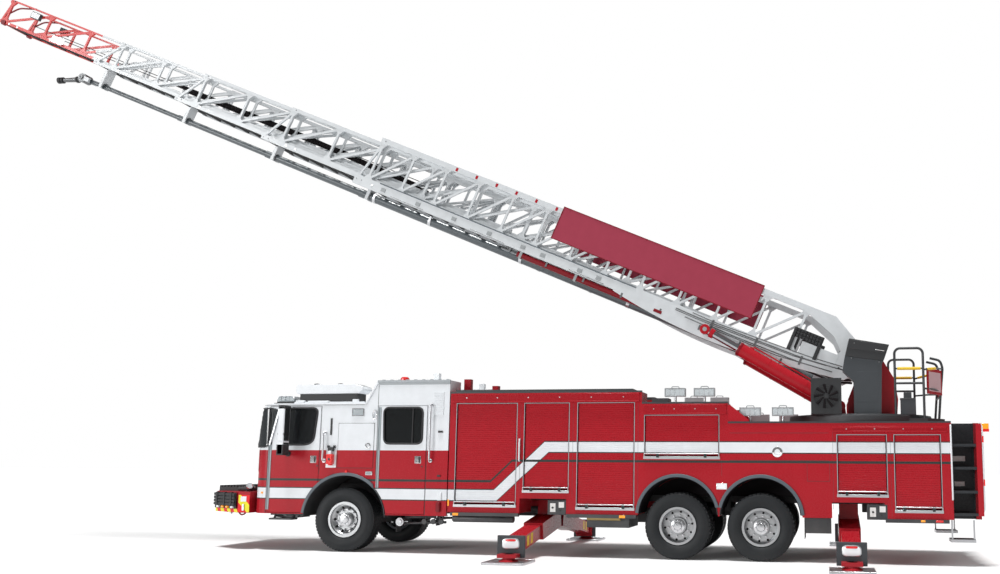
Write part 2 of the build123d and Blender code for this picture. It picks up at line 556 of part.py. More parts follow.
with BuildPart() as grille:
    slab((CAB_X[0] - 6, CAB_X[0] + 40), (-560, 560), (840, 870))
    slab((CAB_X[0] - 6, CAB_X[0] + 40), (-560, 560), (1210, 1240))
    for side in (-1, 1):
        slab((CAB_X[0] - 6, CAB_X[0] + 40), (side * 530, side * 560), (840, 1240))
    for bar in range(GRILLE_BARS):
        bar_z = 840 + 400 * (bar + 1) / (GRILLE_BARS + 1)
        slab((CAB_X[0], CAB_X[0] + 36), (-545, 545), (bar_z - 9, bar_z + 9))
grille.part.label = "grille"
export_step(grille.part, "parts/grille.step")

# boxes of the lamp set: low x, high x, low y, high y, low z, high z; each is mirrored to the other side
LAMP_BOXES = (
    (CAB_X[0] - 30, CAB_X[0], 620, 900, 1020, 1180),         # head lamps
    (CAB_X[0] - 30, CAB_X[0], 620, 900, 1220, 1330),         # warning lamps above them
    (-2330, -2010, 770, 1100, CAB_ROOF_Z, CAB_ROOF_Z + 150),    # light bars on the low roof
    (600, 700, 1050, 1150, HIGH_ROOF_Z, HIGH_ROOF_Z + 130),     # beacons on the high roof
    (REAR_X, 9640, 1090, 1230, 2030, 2140),                       # rear beacons
    (REAR_X, REAR_X + 25, 880, 1100, 1000, 1400),               # tail lamps
)

with BuildPart() as lamps:
    for x0, x1, y0, y1, z0, z1 in LAMP_BOXES:
        for side in (-1, 1):
            slab((x0, x1), (side * y0, side * y1), (z0, z1))
lamps.part.label = "lamps"
export_step(lamps.part, "parts/lamps.step")

with BuildPart() as roof_gear:
    slab((-1990 + 10, -700), (-1110, -ROOF_NOTCH_Y - 10), (CAB_ROOF_Z, CAB_ROOF_Z + 90))
    slab((-1990 + 20, -710), (-1100, -ROOF_NOTCH_Y - 20), (CAB_ROOF_Z + 90, CAB_ROOF_Z + 360))
roof_gear.part.label = "roof_gear"
export_step(roof_gear.part, "parts/roof_gear.step")

# ================================================================ body
# one row for each shutter: body name, low x, high x, low z, high z
SHUTTERS = (
    ("front", 1090.0, 2145.0, 785.0, 2492.0), ("front", 2280.0, 3040.0, 1030.0, 2492.0),
    ("front", 3190.0, 4135.0, 765.0, 2492.0), ("rear", 4310.0, 5515.0, 1590.0, 2285.0),
    ("rear", 7372.0, 8117.0, 1018.0, 1970.0), ("rear", 8237.0, 8923.0, 790.0, 1970.0),
)
LEG_OPENINGS = ((2220.0, 3015.0), (7276.0, 8070.0))
LEG_OPENING_TOP_Z = 930.0
TUNNEL_Y = 610.0
TUNNEL_Z = RAIL_Z[1] + SEAT_GAP
RING_R = 560.0


def locker_row(half, top_z, trough_z):
    """Cross section of a body stretch: two locker stacks joined over the chassis frame."""
    return ((-half, BODY_BOTTOM_Z), (-half, top_z), (-TROUGH_Y, top_z), (-TROUGH_Y, trough_z),
            (TROUGH_Y, trough_z),
            (TROUGH_Y, top_z), (half, top_z), (half, BODY_BOTTOM_Z), (TUNNEL_Y, BODY_BOTTOM_Z),
            (TUNNEL_Y, TUNNEL_Z),
            (-TUNNEL_Y, TUNNEL_Z), (-TUNNEL_Y, BODY_BOTTOM_Z))


def body_openings(body_name):
    """Cut the lockers, outrigger openings and wheel arches of one body module."""
    for side in (-1, 1):
        for row_name, x0, x1, z0, z1 in SHUTTERS:
            if row_name == body_name:
                slab((x0, x1), (side * (TUNNEL_Y + BODY_WALL), side * (HALF_WIDTH + 5)), (z0, z1),
                     mode=Mode.SUBTRACT)
        for x0, x1 in LEG_OPENINGS:
            slab((x0, x1), (side * (TUNNEL_Y - 5), side * (HALF_WIDTH + 5)),
                 (BODY_BOTTOM_Z - 5, LEG_OPENING_TOP_Z),
                 mode=Mode.SUBTRACT)
        for axle_x in REAR_AXLES_X:
            cross_rod(axle_x, REAR_ARCH_Z, REAR_ARCH_R, (side * (TUNNEL_Y - 5), side * (HALF_WIDTH + 5)),
                      mode=Mode.SUBTRACT)


with BuildPart() as front_body:
    with BuildSketch(Plane.YZ.offset(BODY_X[0])) as section:
        Polygon(*locker_row(HALF_WIDTH, BODY_TOP_Z[0], TROUGH_Z), align=None)
    extrude(section.sketch, amount=BODY_X[1] - BODY_X[0])
    slab((BODY_X[0] - 5, BODY_X[1] + 5), (-TUNNEL_Y + BODY_WALL, TUNNEL_Y - BODY_WALL),
         (TUNNEL_Z + BODY_WALL, TROUGH_Z - BODY_WALL), mode=Mode.SUBTRACT)
    body_openings("front")
    # ladder rest with its two guide horns
    slab((1010, 1130), (-TROUGH_Y, TROUGH_Y), (2430, 2520))
    for side in (-1, 1):
        slab((1010, 1130), (side * 500, side * 650), (2515, 2700))
        slab((1010, 1130), (side * 660, side * TROUGH_Y), (TROUGH_Z, 2950))
front_body.part.label = "front_body"
export_step(front_body.part, "parts/front_body.step")

with BuildPart() as rear_body:
    with BuildSketch(Plane.YZ.offset(BODY_X[1])) as section:
        Polygon(*locker_row(HALF_WIDTH, BODY_TOP_Z[1], TROUGH_Z), align=None)
    extrude(section.sketch, amount=BODY_X[2] - BODY_X[1])
    slab((BODY_X[2], BODY_X[3]), (-HALF_WIDTH, HALF_WIDTH), (BODY_BOTTOM_Z, BODY_TOP_Z[2]))
    slab((BODY_X[3], REAR_X - 30), (-860, 860), (BODY_BOTTOM_Z, BODY_TOP_Z[2]))
    slab((BODY_X[2] - 5, REAR_X), (-TUNNEL_Y, TUNNEL_Y), (BODY_BOTTOM_Z - 5, TUNNEL_Z), mode=Mode.SUBTRACT)
    slab((BODY_X[1] - 5, BODY_X[3] - 60), (-TUNNEL_Y + BODY_WALL, TUNNEL_Y - BODY_WALL),
         (TUNNEL_Z + BODY_WALL, TROUGH_Z - BODY_WALL), mode=Mode.SUBTRACT)
    body_openings("rear")
    with Locations((TURN_X, 0, (RAIL_Z[1] + BODY_TOP_Z[2]) / 2)):
        Cylinder(RING_R + 5, BODY_TOP_Z[2] - RAIL_Z[1] + 100, mode=Mode.SUBTRACT)
    # stair treads and corner posts
    for side in (-1, 1):
        slab((REAR_X - 80, REAR_X), (side * 860, side * HALF_WIDTH), (750, 2145))
        slab((REAR_X - 85, REAR_X), (side * 850, side * 1000), (BODY_BOTTOM_Z, BODY_TOP_Z[2]))
        for tread_z in (750.0, 1089.0, 1448.0, 1796.0):
            slab((BODY_X[3] - 5, REAR_X - 75), (side * 855, side * (HALF_WIDTH - 12)),
                 (tread_z, tread_z + 38))
rear_body.part.label = "rear_body"
export_step(rear_body.part, "parts/rear_body.step")

with BuildPart() as roll_shutters:
    for _, x0, x1, z0, z1 in SHUTTERS:
        for side in (-1, 1):
            face_y = HALF_WIDTH - DOOR_INSET
            slab((x0, x1), (side * face_y, side * (face_y - SHUTTER_T)), (z0, z1))
            slab((x0 + 4, x1 - 4), (side * (face_y - 1), side * (HALF_WIDTH + 22)), (z0 + 4, z0 + 64))
roll_shutters.part.label = "roll_shutters"
export_step(roll_shutters.part, "parts/roll_shutters.step")

LINER_T = 14.0

with BuildPart() as wheel_arches:
    for arch_x, arch_z, arch_r, inner_y in ((FRONT_AXLE_X, FRONT_TYRE_R, CAB_ARCH_R, 500.0),
                                            (REAR_AXLES_X[0], REAR_ARCH_Z, REAR_ARCH_R, TUNNEL_Y + 6),
                                            (REAR_AXLES_X[1], REAR_ARCH_Z, REAR_ARCH_R, TUNNEL_Y + 6)):
        for side in (-1, 1):
            low, high = sorted((side * inner_y, side * (HALF_WIDTH + 12)))
            with BuildSketch(Plane.XZ.offset(-high)) as hoop:
                with Locations((arch_x, arch_z)):
                    Circle(arch_r - 0.5)
                    Circle(arch_r - LINER_T, mode=Mode.SUBTRACT)
                with Locations((arch_x, arch_z - arch_r)):
                    Rectangle(3 * arch_r, 2 * arch_r + 100, mode=Mode.SUBTRACT)
            extrude(hoop.sketch, amount=high - low)
wheel_arches.part.label = "wheel_arches"
export_step(wheel_arches.part, "parts/wheel_arches.step")

# trim that closes off the body: low x, high x, low y, high y, low z, high z; each is mirrored
TRIM_BOXES = (
    (BODY_X[0] + 60, 2210, 1200, 1275, RUB_RAIL_Z[0] - 20, BODY_BOTTOM_Z),
    (3025, 4180, 1200, 1275, RUB_RAIL_Z[0] - 20, BODY_BOTTOM_Z),
    (8080, 9020, 1200, 1275, RUB_RAIL_Z[0] - 20, BODY_BOTTOM_Z),
    (1050, 4100, 800, 1220, BODY_TOP_Z[0], BODY_TOP_Z[0] + 55),
    (BODY_X[1] + 150, BODY_X[1] + 420, 850, 1150, BODY_TOP_Z[1], BODY_TOP_Z[1] + 90),
)

with BuildPart() as body_trim:
    for x0, x1, y0, y1, z0, z1 in TRIM_BOXES:
        for side in (-1, 1):
            slab((x0, x1), (side * y0, side * y1), (z0, z1))
body_trim.part.label = "body_trim"
export_step(body_trim.part, "parts/body_trim.step")

# flood lamps: x, body top they stand on
FLOOD_LAMPS = ((4790.0, BODY_TOP_Z[1]), (5270.0, BODY_TOP_Z[1]), (6010.0, BODY_TOP_Z[2]),
               (6530.0, BODY_TOP_Z[2]))

with BuildPart() as flood_lamps:
    for lamp_x, deck_z in FLOOD_LAMPS:
        for side in (-1, 1):
            lamp_y = side * 1100
            lamp_z = deck_z + 130
            with Locations((lamp_x, lamp_y, deck_z + 60)):
                Cylinder(22, 120)
            slab((lamp_x - 170, lamp_x + 170), (lamp_y - 45, lamp_y + 45), (lamp_z - 15, lamp_z + 120))
flood_lamps.part.label = "flood_lamps"
export_step(flood_lamps.part, "parts/flood_lamps.step")

with BuildPart() as underbody:
    # fuel tank, battery box and step frames hung from the rails
    slab((3350, 4050), (-1180, -RAIL_OUTER_Y), (480, 686))
    slab((3350, 4050), (RAIL_OUTER_Y, 1180), (480, 686))
    for hanger_x in (3450.0, 3950.0):
        for side in (-1, 1):
            slab((hanger_x - 30, hanger_x + 30), (side * RAIL_OUTER_Y, side * (RAIL_OUTER_Y + 60)),
                 (600, RAIL_Z[1] - 30))
    for side in (-1, 1):
        slab((6850, 7260), (side * 640, side * 1200), (450, 686))
        slab((6900, 6960), (side * RAIL_OUTER_Y, side * 700), (560, 640))
        slab((6900, 6960), (side * RAIL_OUTER_Y, side * (RAIL_OUTER_Y + 50)), (560, RAIL_Z[1] - 30))
underbody.part.label = "underbody"
export_step(underbody.part, "parts/underbody.step")

with BuildPart() as rear_steps:
    for side in (-1, 1):
        slab((9040, 9400), (side * 900, side * 1240), (356, 400))
        for rod_x in (9060.0, 9380.0):
            slab((rod_x - 12, rod_x + 12), (side * 1200, side * 1224), (395, BODY_BOTTOM_Z))
rear_steps.part.label = "rear_steps"
export_step(rear_steps.part, "parts/rear_steps.step")

# ================================================================ outriggers
SLEEVE_SIZE = (LEG_SIZE[0] + 2 * (SLEEVE_WALL + LEG_CLEAR), LEG_SIZE[1] + 2 * (SLEEVE_WALL + LEG_CLEAR))
SLEEVE_RUN = (75.0, 1150.0)    # from and to, across the truck
PLATE_SIZE = (430.0, 330.0)


def leg_plane(leg_x, side, y):
    """Section plane of an outrigger at distance y from the centre line, looking outwards along its slope."""
    drop = sin(radians(LEG_SLOPE))
    level = cos(radians(LEG_SLOPE))
    z = LEG_END_Z + (LEG_END_Y - y) * drop / level
    return Plane(origin=(leg_x, side * y, z), x_dir=(1, 0, 0), z_dir=(0, side * level, -drop))


with BuildPart() as outrigger_sleeves:
    for leg_x in LEG_X:
        for side in (-1, 1):
            with BuildSketch(leg_plane(leg_x, side, SLEEVE_RUN[0])) as tube:
                Rectangle(*SLEEVE_SIZE)
                Rectangle(LEG_SIZE[0] + 2 * LEG_CLEAR, LEG_SIZE[1] + 2 * LEG_CLEAR, mode=Mode.SUBTRACT)
            extrude(tube.sketch, amount=(SLEEVE_RUN[1] - SLEEVE_RUN[0]) / cos(radians(LEG_SLOPE)))
            slab((leg_x - 150, leg_x + 150), (side * 340, side * RAIL_OUTER_Y), (640, RAIL_Z[0]))
outrigger_sleeves.part.label = "outrigger_sleeves"
export_step(outrigger_sleeves.part, "parts/outrigger_sleeves.step")

for leg_name, leg_x in (("front", LEG_X[0]), ("rear", LEG_X[1])):
    for side_name, side in SIDES:
        with BuildPart() as outrigger:
            with BuildSketch(leg_plane(leg_x, side,
                                       LEG_END_Y - LEG_LENGTH * cos(radians(LEG_SLOPE)))) as beam:
                Rectangle(*LEG_SIZE)
            extrude(beam.sketch, amount=LEG_LENGTH)
            plate_y = side * LEG_END_Y
            slab((leg_x - PLATE_SIZE[0] / 2, leg_x + PLATE_SIZE[0] / 2),
                 (plate_y - side * 20, plate_y + side * 25),
                 (LEG_END_Z - PLATE_SIZE[1] / 2, LEG_END_Z + PLATE_SIZE[1] / 2))
            pad_y = plate_y + side * 120
            slab((leg_x - 150, leg_x + 150), (plate_y - side * 60, pad_y + side * 110), (85, 140))
            with Locations((leg_x, pad_y, 60)):
                Cylinder(70, 90)
            slab((leg_x - PAD_SIZE / 2, leg_x + PAD_SIZE / 2), (pad_y - PAD_SIZE / 2, pad_y + PAD_SIZE / 2),
                 (0, PAD_T))
        outrigger.part.label = f"outrigger_{leg_name}_{side_name}"
        export_step(outrigger.part, f"parts/outrigger_{leg_name}_{side_name}.step")

# ================================================================ turntable
RUN_GAP = 0.5

with BuildPart() as turntable_ring:
    with Locations((TURN_X, 0, (RAIL_Z[1] + DECK_Z[0] - RUN_GAP) / 2)):
        Cylinder(RING_R, DECK_Z[0] - RUN_GAP - RAIL_Z[1])
        Cylinder(RING_R - 60, DECK_Z[0] - RAIL_Z[1] + 10, mode=Mode.SUBTRACT)
turntable_ring.part.label = "turntable_ring"
export_step(turntable_ring.part, "parts/turntable_ring.step")

with BuildPart() as turntable_deck:
    with Locations((TURN_X, 0, sum(DECK_Z) / 2)):
        Cylinder(DECK_R, DECK_Z[1] - DECK_Z[0])
        Cylinder(220, 300, mode=Mode.SUBTRACT)
    slab((7640, 8280), (-YOKE_Y[0], YOKE_Y[0]), (DECK_Z[1] - 5, 2470))
    for side in (-1, 1):
        side_prism(((7560, DECK_Z[1] - 5), (8330, DECK_Z[1] - 5), (8350, 2560), (8290, 2900), (8100, 3230),
                    (7990, 3345),
                    (7800, 3365), (7750, 3250), (7700, 2900), (7560, 2560)),
                   (side * YOKE_Y[0], side * YOKE_Y[1]))
        cross_rod(PIVOT_X, PIVOT_Z, PIVOT_PIN_R, (side * 556, side * YOKE_Y[1]))
        # fork that carries a lift cylinder's foot
        for lug_y in (LIFT_Y - 98, LIFT_Y + 64):
            side_prism(((LIFT_PIN_X - 100, DECK_Z[1] - 5), (LIFT_PIN_X + 100, DECK_Z[1] - 5),
                        (LIFT_PIN_X + 70, LIFT_PIN_Z + 60), (LIFT_PIN_X - 70, LIFT_PIN_Z + 60)),
                       (side * lug_y, side * (lug_y + 34)))
        cross_rod(LIFT_PIN_X, LIFT_PIN_Z, 40, (side * (LIFT_Y - 98), side * (LIFT_Y + 98)))
    # platform behind the ladder's foot
    plan_prism(((8100, -900), (8780, -900), (9080, -560), (9080, 560), (8780, 900), (8100, 900)),
               (DECK_Z[0], DECK_Z[0] + 50))
turntable_deck.part.label = "turntable_deck"
export_step(turntable_deck.part, "parts/turntable_deck.step")

with BuildPart() as turntable_console:
    side_prism(((7650, DECK_Z[1]), (8070, DECK_Z[1]), (8095, 3090), (8205, 3400), (7600, 3510),
                (7505, 3170),
                (7480, 3000), (7650, 2830)), (-1010, -765))
    slab((6980, 7450), (-1120, -870), (DECK_Z[1], 2870))
    slab((8380, 8600), (-895, -765), (DECK_Z[1], 2560))
turntable_console.part.label = "turntable_console"
export_step(turntable_console.part, "parts/turntable_console.step")

RAIL_TUBE_R = 20.0
PLATFORM_TOP_Z = DECK_Z[0] + 50
# guard rails on the deck and the platform: low x, high x, y, top z
RAIL_HOOPS = ((8300.0, 8740.0, -860.0, 3365.0), (8300.0, 8740.0, 860.0, 3365.0))

with BuildPart() as turntable_rails:
    for low_x, high_x, rail_y, rail_z in RAIL_HOOPS:
        pipe_run(((low_x, rail_y, DECK_Z[1]), (low_x, rail_y, rail_z), (high_x, rail_y, rail_z),
                  (high_x, rail_y, PLATFORM_TOP_Z)), RAIL_TUBE_R, 90)
        with BuildSketch(Plane.YZ.offset(low_x)) as middle_rail:
            with Locations((rail_y, (PLATFORM_TOP_Z + rail_z) / 2)):
                Circle(RAIL_TUBE_R - 2)
        extrude(middle_rail.sketch, amount=high_x - low_x)
turntable_rails.part.label = "turntable_rails"
export_step(turntable_rails.part, "parts/turntable_rails.step")

# ================================================================ lift cylinders
e = radians(LADDER_ANGLE)
LADDER = Plane(origin=(PIVOT_X, 0, PIVOT_Z), x_dir=(-cos(e), 0, sin(e)), z_dir=(0, 1, 0))
EYE_X = PIVOT_X - LIFT_EYE_U * cos(e) + LIFT_EYE_W * sin(e)
EYE_Z = PIVOT_Z + LIFT_EYE_U * sin(e) + LIFT_EYE_W * cos(e)
LIFT_ANGLE = atan2(EYE_Z - LIFT_PIN_Z, LIFT_PIN_X - EYE_X)
LIFT_LENGTH = hypot(EYE_Z - LIFT_PIN_Z, LIFT_PIN_X - EYE_X)
BARREL_RUN = (150.0, 1900.0)
ROD_TAIL = 700.0               # where the rod ends inside the barrel as it stands


def lift_plane(y, run):
    """Section plane of a lift cylinder at a distance from its foot pin, looking towards the rod's eye."""
    along = (-cos(LIFT_ANGLE), 0, sin(LIFT_ANGLE))
    origin = (LIFT_PIN_X + along[0] * run, y, LIFT_PIN_Z + along[2] * run)
    return Plane(origin=origin, x_dir=(0, 1, 0), z_dir=along)


with BuildPart() as lift_barrels:
    for side in (-1, 1):
        centre_y = side * LIFT_Y
        with BuildSketch(lift_plane(centre_y, BARREL_RUN[0])) as tube:
            Circle(BARREL_R)
        extrude(tube.sketch, amount=BARREL_RUN[1] - BARREL_RUN[0])
        cross_rod(LIFT_PIN_X, LIFT_PIN_Z, 88, (centre_y - 58, centre_y + 58))
        with BuildSketch(lift_plane(centre_y, 40)) as neck:
            Rectangle(110, 120)
        extrude(neck.sketch, amount=BARREL_RUN[0] - 35)
        with BuildSketch(lift_plane(centre_y, BARREL_RUN[0] + 100)) as bore:
            Circle(ROD_R + RUN_GAP)
        extrude(bore.sketch, amount=BARREL_RUN[1], mode=Mode.SUBTRACT)
        cross_rod(LIFT_PIN_X, LIFT_PIN_Z, 40 + RUN_GAP, (centre_y - 60, centre_y + 60), mode=Mode.SUBTRACT)
lift_barrels.part.label = "lift_barrels"
export_step(lift_barrels.part, "parts/lift_barrels.step")

with BuildPart() as lift_rods:
    for side in (-1, 1):
        centre_y = side * LIFT_Y
        with BuildSketch(lift_plane(centre_y, ROD_TAIL)) as rod:
            Circle(ROD_R)
        extrude(rod.sketch, amount=LIFT_LENGTH - ROD_TAIL - 60)
        cross_rod(EYE_X, EYE_Z, 85, (centre_y - 45, centre_y + 45))
        cross_rod(EYE_X, EYE_Z, 40, (centre_y - 60, centre_y + 60))
lift_rods.part.label = "lift_rods"
export_step(lift_rods.part, "parts/lift_rods.step")

# ================================================================ ladder
# one row for each section: name, outer half width, chord width, bottom w, bottom chord height, top w, top rail height,
# rear u, top rail's tip u, bottom rail's tip u, bay length, rung centre w, pipe outer radius
SECTIONS = (
    ("ladder_base", 600.0, 60.0, -540.0, 180.0, 448.0, 100.0, 1150.0, 9640.0, 9840.0, 700.0, -460.0, 81.0),
    ("ladder_second", 525.0, 50.0, -420.0, 100.0, 365.0, 70.0, 2650.0, 11680.0, 12050.0, 1050.0, -395.0,
     68.0),
    ("ladder_third", 460.0, 46.0, -350.0, 75.0, 355.0, 60.0, 4650.0, 13820.0, 14230.0, 1050.0, -325.0,
     56.0),
    ("ladder_fourth", 400.0, 42.0, -280.0, 65.0, 333.0, 50.0, 6650.0, 15950.0, 16390.0, 1050.0, -255.0,
     45.0),
    ("ladder_fly", 343.0, 38.0, -215.0, 55.0, 320.0, 34.0, 8650.0, 18950.0, 19040.0, 1050.0, -190.0, 0.0),
)
WEB_T = 34.0
WEB_W = 40.0
RUNG = 32.0
RUNG_PITCH = 356.0
PIPE_W = -620.0
PIPE_WALL = 5.0
PIPE_LENGTH = 9250.0
MONITOR_U = 16780.0
MONITOR_PIN_R = 22.0


def truss_side(half, chord, bottom, chord_h, top, rail_h, rear, tip, foot, bay, side):
    """One side of a ladder section: two chords, square posts and diagonals that fall towards the front."""
    web_low = bottom + chord_h - 10
    web_high = top - rail_h + 10
    height = web_high - web_low
    bays = int((tip - 60 - rear) / bay)
    posts = [tip - 60 - bay * k for k in range(bays + 1)]
    low, high = sorted((side * half, side * (half - chord)))
    with BuildSketch(LADDER.offset(low)) as chords:
        with Locations(((rear + tip) / 2, top - rail_h / 2)):
            Rectangle(tip - rear, rail_h)
        with Locations(((rear + foot) / 2, bottom + chord_h / 2)):
            Rectangle(foot - rear, chord_h)
    extrude(chords.sketch, amount=high - low)
    web_start = (low + high - WEB_T) / 2
    with BuildSketch(LADDER.offset(web_start)) as webs:
        with Locations(*[(u, (web_low + web_high) / 2) for u in posts]):
            Rectangle(WEB_W, height)
        with Locations(*[(u - bay / 2, (web_low + web_high) / 2) for u in posts[:-1]]):
            Rectangle(hypot(bay, height), WEB_W, rotation=-degrees(atan2(height, bay)))
        nose = foot - 60 - posts[0]
        with Locations(((foot - 60 + posts[0]) / 2, (web_low + web_high) / 2)):
            Rectangle(hypot(nose, height), WEB_W, rotation=-degrees(atan2(height, nose)))
    extrude(webs.sketch, amount=WEB_T)


def pipe_along(u0, u1, radius, mode=Mode.ADD):
    """A round pipe along the ladder under its middle."""
    origin = LADDER.from_local_coords((u0, PIPE_W, 0))
    with BuildSketch(Plane(origin=origin, x_dir=(0, 1, 0), z_dir=LADDER.x_dir)) as disc:
        Circle(radius)
    extrude(disc.sketch, amount=u1 - u0, mode=mode)


INNER_SECTIONS = {outer[0]: inner for outer, inner in zip(SECTIONS, SECTIONS[1:])}

for name, half, chord, bottom, chord_h, top, rail_h, rear, tip, foot, bay, rung_w, pipe_r in SECTIONS:
    with BuildPart() as section:
        for side in (-1, 1):
            truss_side(half, chord, bottom, chord_h, top, rail_h, rear, tip, foot, bay, side)
        rung_count = int((foot - rear - 200) / RUNG_PITCH)
        with BuildSketch(LADDER.offset(-half + chord / 2)) as rungs:
            with Locations(*[(foot - 100 - RUNG_PITCH * k, rung_w) for k in range(rung_count + 1)]):
                Rectangle(RUNG, RUNG)
        extrude(rungs.sketch, amount=2 * half - chord)
        if name in INNER_SECTIONS:
            # slide pads under the chords of the section within
            _, pad_half, pad_chord, pad_top = INNER_SECTIONS[name][:4]
            for side in (-1, 1):
                low, high = sorted((side * (pad_half - pad_chord), side * pad_half))
                with BuildSketch(LADDER.offset(low)) as pad:
                    with Locations((foot - 105, (rung_w + pad_top - SEAT_GAP) / 2)):
                        Rectangle(170, pad_top - SEAT_GAP - rung_w)
                extrude(pad.sketch, amount=high - low)
        if name == "ladder_base":
            for side in (-1, 1):
                low, high = sorted((side * (half - chord), side * half))
                with BuildSketch(LADDER.offset(low)) as heel:
                    with BuildLine():
                        Polyline((4400, -500), (4400, -560))
                        ThreePointArc((4400, -560), (2750, -725), (1000, -600))
                        Polyline((1000, -600), (200, -480), (40, -300), (-130, -120), (-140, 60),
                                 (-60, 140), (250, 200),
                                 (700, 448), (1200, 448), (1200, 350), (620, 130), (420, -60), (560, -330),
                                 (1200, -370), (1200, -500), (4400, -500))
                    make_face()
                extrude(heel.sketch, amount=high - low)
                boss_low, boss_high = sorted((side * (half - chord), side * (YOKE_Y[0] - 5)))
                with BuildSketch(LADDER.offset(boss_low)) as boss:
                    Circle(115)
                extrude(boss.sketch, amount=boss_high - boss_low)
                hole_low, hole_high = sorted((side * (half - chord - 20), side * YOKE_Y[0]))
                with BuildSketch(LADDER.offset(hole_low)) as hole:
                    Circle(PIVOT_PIN_R + RUN_GAP)
                extrude(hole.sketch, amount=hole_high - hole_low, mode=Mode.SUBTRACT)
                stub_low, stub_high = sorted((side * (half - 10), side * (LIFT_Y - 65)))
                with BuildSketch(LADDER.offset(stub_low)) as stub:
                    with Locations((LIFT_EYE_U, LIFT_EYE_W)):
                        Circle(55)
                extrude(stub.sketch, amount=stub_high - stub_low)
        if pipe_r:
            pipe_end = foot + (250 if name == "ladder_fourth" else 120)
            # hanger from the section's front rung to the pipe
            with BuildSketch(LADDER.offset(-110)) as hanger:
                with Locations((foot - 100, (rung_w + PIPE_W - pipe_r) / 2)):
                    Rectangle(60, rung_w - PIPE_W + pipe_r + 10)
            extrude(hanger.sketch, amount=220)
            pipe_along(pipe_end - PIPE_LENGTH, pipe_end, pipe_r)
            pipe_along(pipe_end - PIPE_LENGTH - 10, pipe_end + 10, pipe_r - PIPE_WALL, mode=Mode.SUBTRACT)
        else:
            # hoop across the nose of the fly
            slab_low, slab_high = -half, half
            with BuildSketch(LADDER.offset(slab_low)) as nose_bar:
                with Locations((foot - 20, bottom + chord_h / 2)):
                    Rectangle(40, chord_h)
            extrude(nose_bar.sketch, amount=slab_high - slab_low)
        if name == "ladder_fourth":
            # fork and pin of the water monitor
            for side in (-1, 1):
                low, high = sorted((side * 110, side * 124))
                with BuildSketch(LADDER.offset(low)) as ear:
                    with Locations(((pipe_end + MONITOR_U + 30) / 2, PIPE_W)):
                        Rectangle(MONITOR_U + 110 - pipe_end, 90)
                extrude(ear.sketch, amount=high - low)
            with BuildSketch(LADDER.offset(-124)) as yoke:
                with Locations((pipe_end - 20, PIPE_W)):
                    Rectangle(56, 90)
            extrude(yoke.sketch, amount=248)
            with BuildSketch(LADDER.offset(-118)) as pin:
                with Locations((MONITOR_U, PIPE_W)):
                    Circle(MONITOR_PIN_R)
            extrude(pin.sketch, amount=236)
    section.part.label = name
    export_step(section.part, f"parts/{name}.step")

SIGN_U = (2000.0, 5820.0)
SIGN_W = (-114.0, 483.0)
SIGN_T = 14.0

with BuildPart() as sign_panels:
    for side in (-1, 1):
        low, high = sorted((side * 600.0, side * (600.0 + SIGN_T)))
        with BuildSketch(LADDER.offset(low)) as panel:
            with Locations((sum(SIGN_U) / 2, sum(SIGN_W) / 2)):
                Rectangle(SIGN_U[1] - SIGN_U[0], SIGN_W[1] - SIGN_W[0])
        extrude(panel.sketch, amount=high - low)
sign_panels.part.label = "sign_panels"
export_step(sign_panels.part, "parts/sign_panels.step")

with BuildPart() as monitor:
    with BuildSketch(LADDER.offset(-105)) as head:
        with Locations((MONITOR_U, PIPE_W)):
            Circle(90)
    extrude(head.sketch, amount=210)
    nozzle_dir = LADDER.x_dir * cos(radians(22)) - LADDER.y_dir * sin(radians(22))
    origin = LADDER.from_local_coords((MONITOR_U, PIPE_W, 0))
    with BuildSketch(Plane(origin=origin, x_dir=(0, 1, 0), z_dir=nozzle_dir)) as nozzle:
        Circle(58)
    extrude(nozzle.sketch, amount=640, taper=2)
    with BuildSketch(LADDER.offset(-110)) as bore:
        with Locations((MONITOR_U, PIPE_W)):
            Circle(MONITOR_PIN_R + RUN_GAP)
    extrude(bore.sketch, amount=220, mode=Mode.SUBTRACT)
monitor.part.label = "monitor"
export_step(monitor.part, "parts/monitor.step")
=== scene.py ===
"""Looks of the rear-mount aerial ladder fire engine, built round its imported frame.

Metres, +Z up, front of the truck towards -X, left side towards -Y, ground at Z = 0.
While one side is built, y is measured outwards from the middle plane.
"""

import json
import logging
import math
from collections.abc import Iterable, Iterator
from dataclasses import dataclass
from enum import Enum
from typing import ClassVar

import bmesh
import bpy
from mathutils import Matrix, Vector

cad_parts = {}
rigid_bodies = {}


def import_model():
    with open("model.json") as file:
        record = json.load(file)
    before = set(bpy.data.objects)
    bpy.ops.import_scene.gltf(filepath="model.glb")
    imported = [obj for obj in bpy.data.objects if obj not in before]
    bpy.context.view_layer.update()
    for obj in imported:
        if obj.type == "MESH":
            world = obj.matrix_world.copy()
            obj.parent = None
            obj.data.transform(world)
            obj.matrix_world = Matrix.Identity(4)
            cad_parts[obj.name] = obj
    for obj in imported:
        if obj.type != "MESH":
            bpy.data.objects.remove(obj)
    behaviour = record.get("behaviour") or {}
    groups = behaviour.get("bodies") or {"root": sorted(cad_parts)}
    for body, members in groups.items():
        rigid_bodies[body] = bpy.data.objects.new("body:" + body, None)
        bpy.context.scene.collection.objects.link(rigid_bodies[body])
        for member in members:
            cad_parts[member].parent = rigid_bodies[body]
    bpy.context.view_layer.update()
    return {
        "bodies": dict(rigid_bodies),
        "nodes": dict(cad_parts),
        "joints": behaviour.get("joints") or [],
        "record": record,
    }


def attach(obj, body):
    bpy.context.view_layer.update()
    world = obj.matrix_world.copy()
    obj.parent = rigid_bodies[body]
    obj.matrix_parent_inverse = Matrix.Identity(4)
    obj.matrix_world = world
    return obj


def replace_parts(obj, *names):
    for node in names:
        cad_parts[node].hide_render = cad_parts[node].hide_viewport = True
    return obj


LOG = logging.getLogger("fire_engine")
Point = tuple[float, float, float]
Pair = tuple[float, float]
Row = tuple[float, ...]
Node = bpy.types.Node
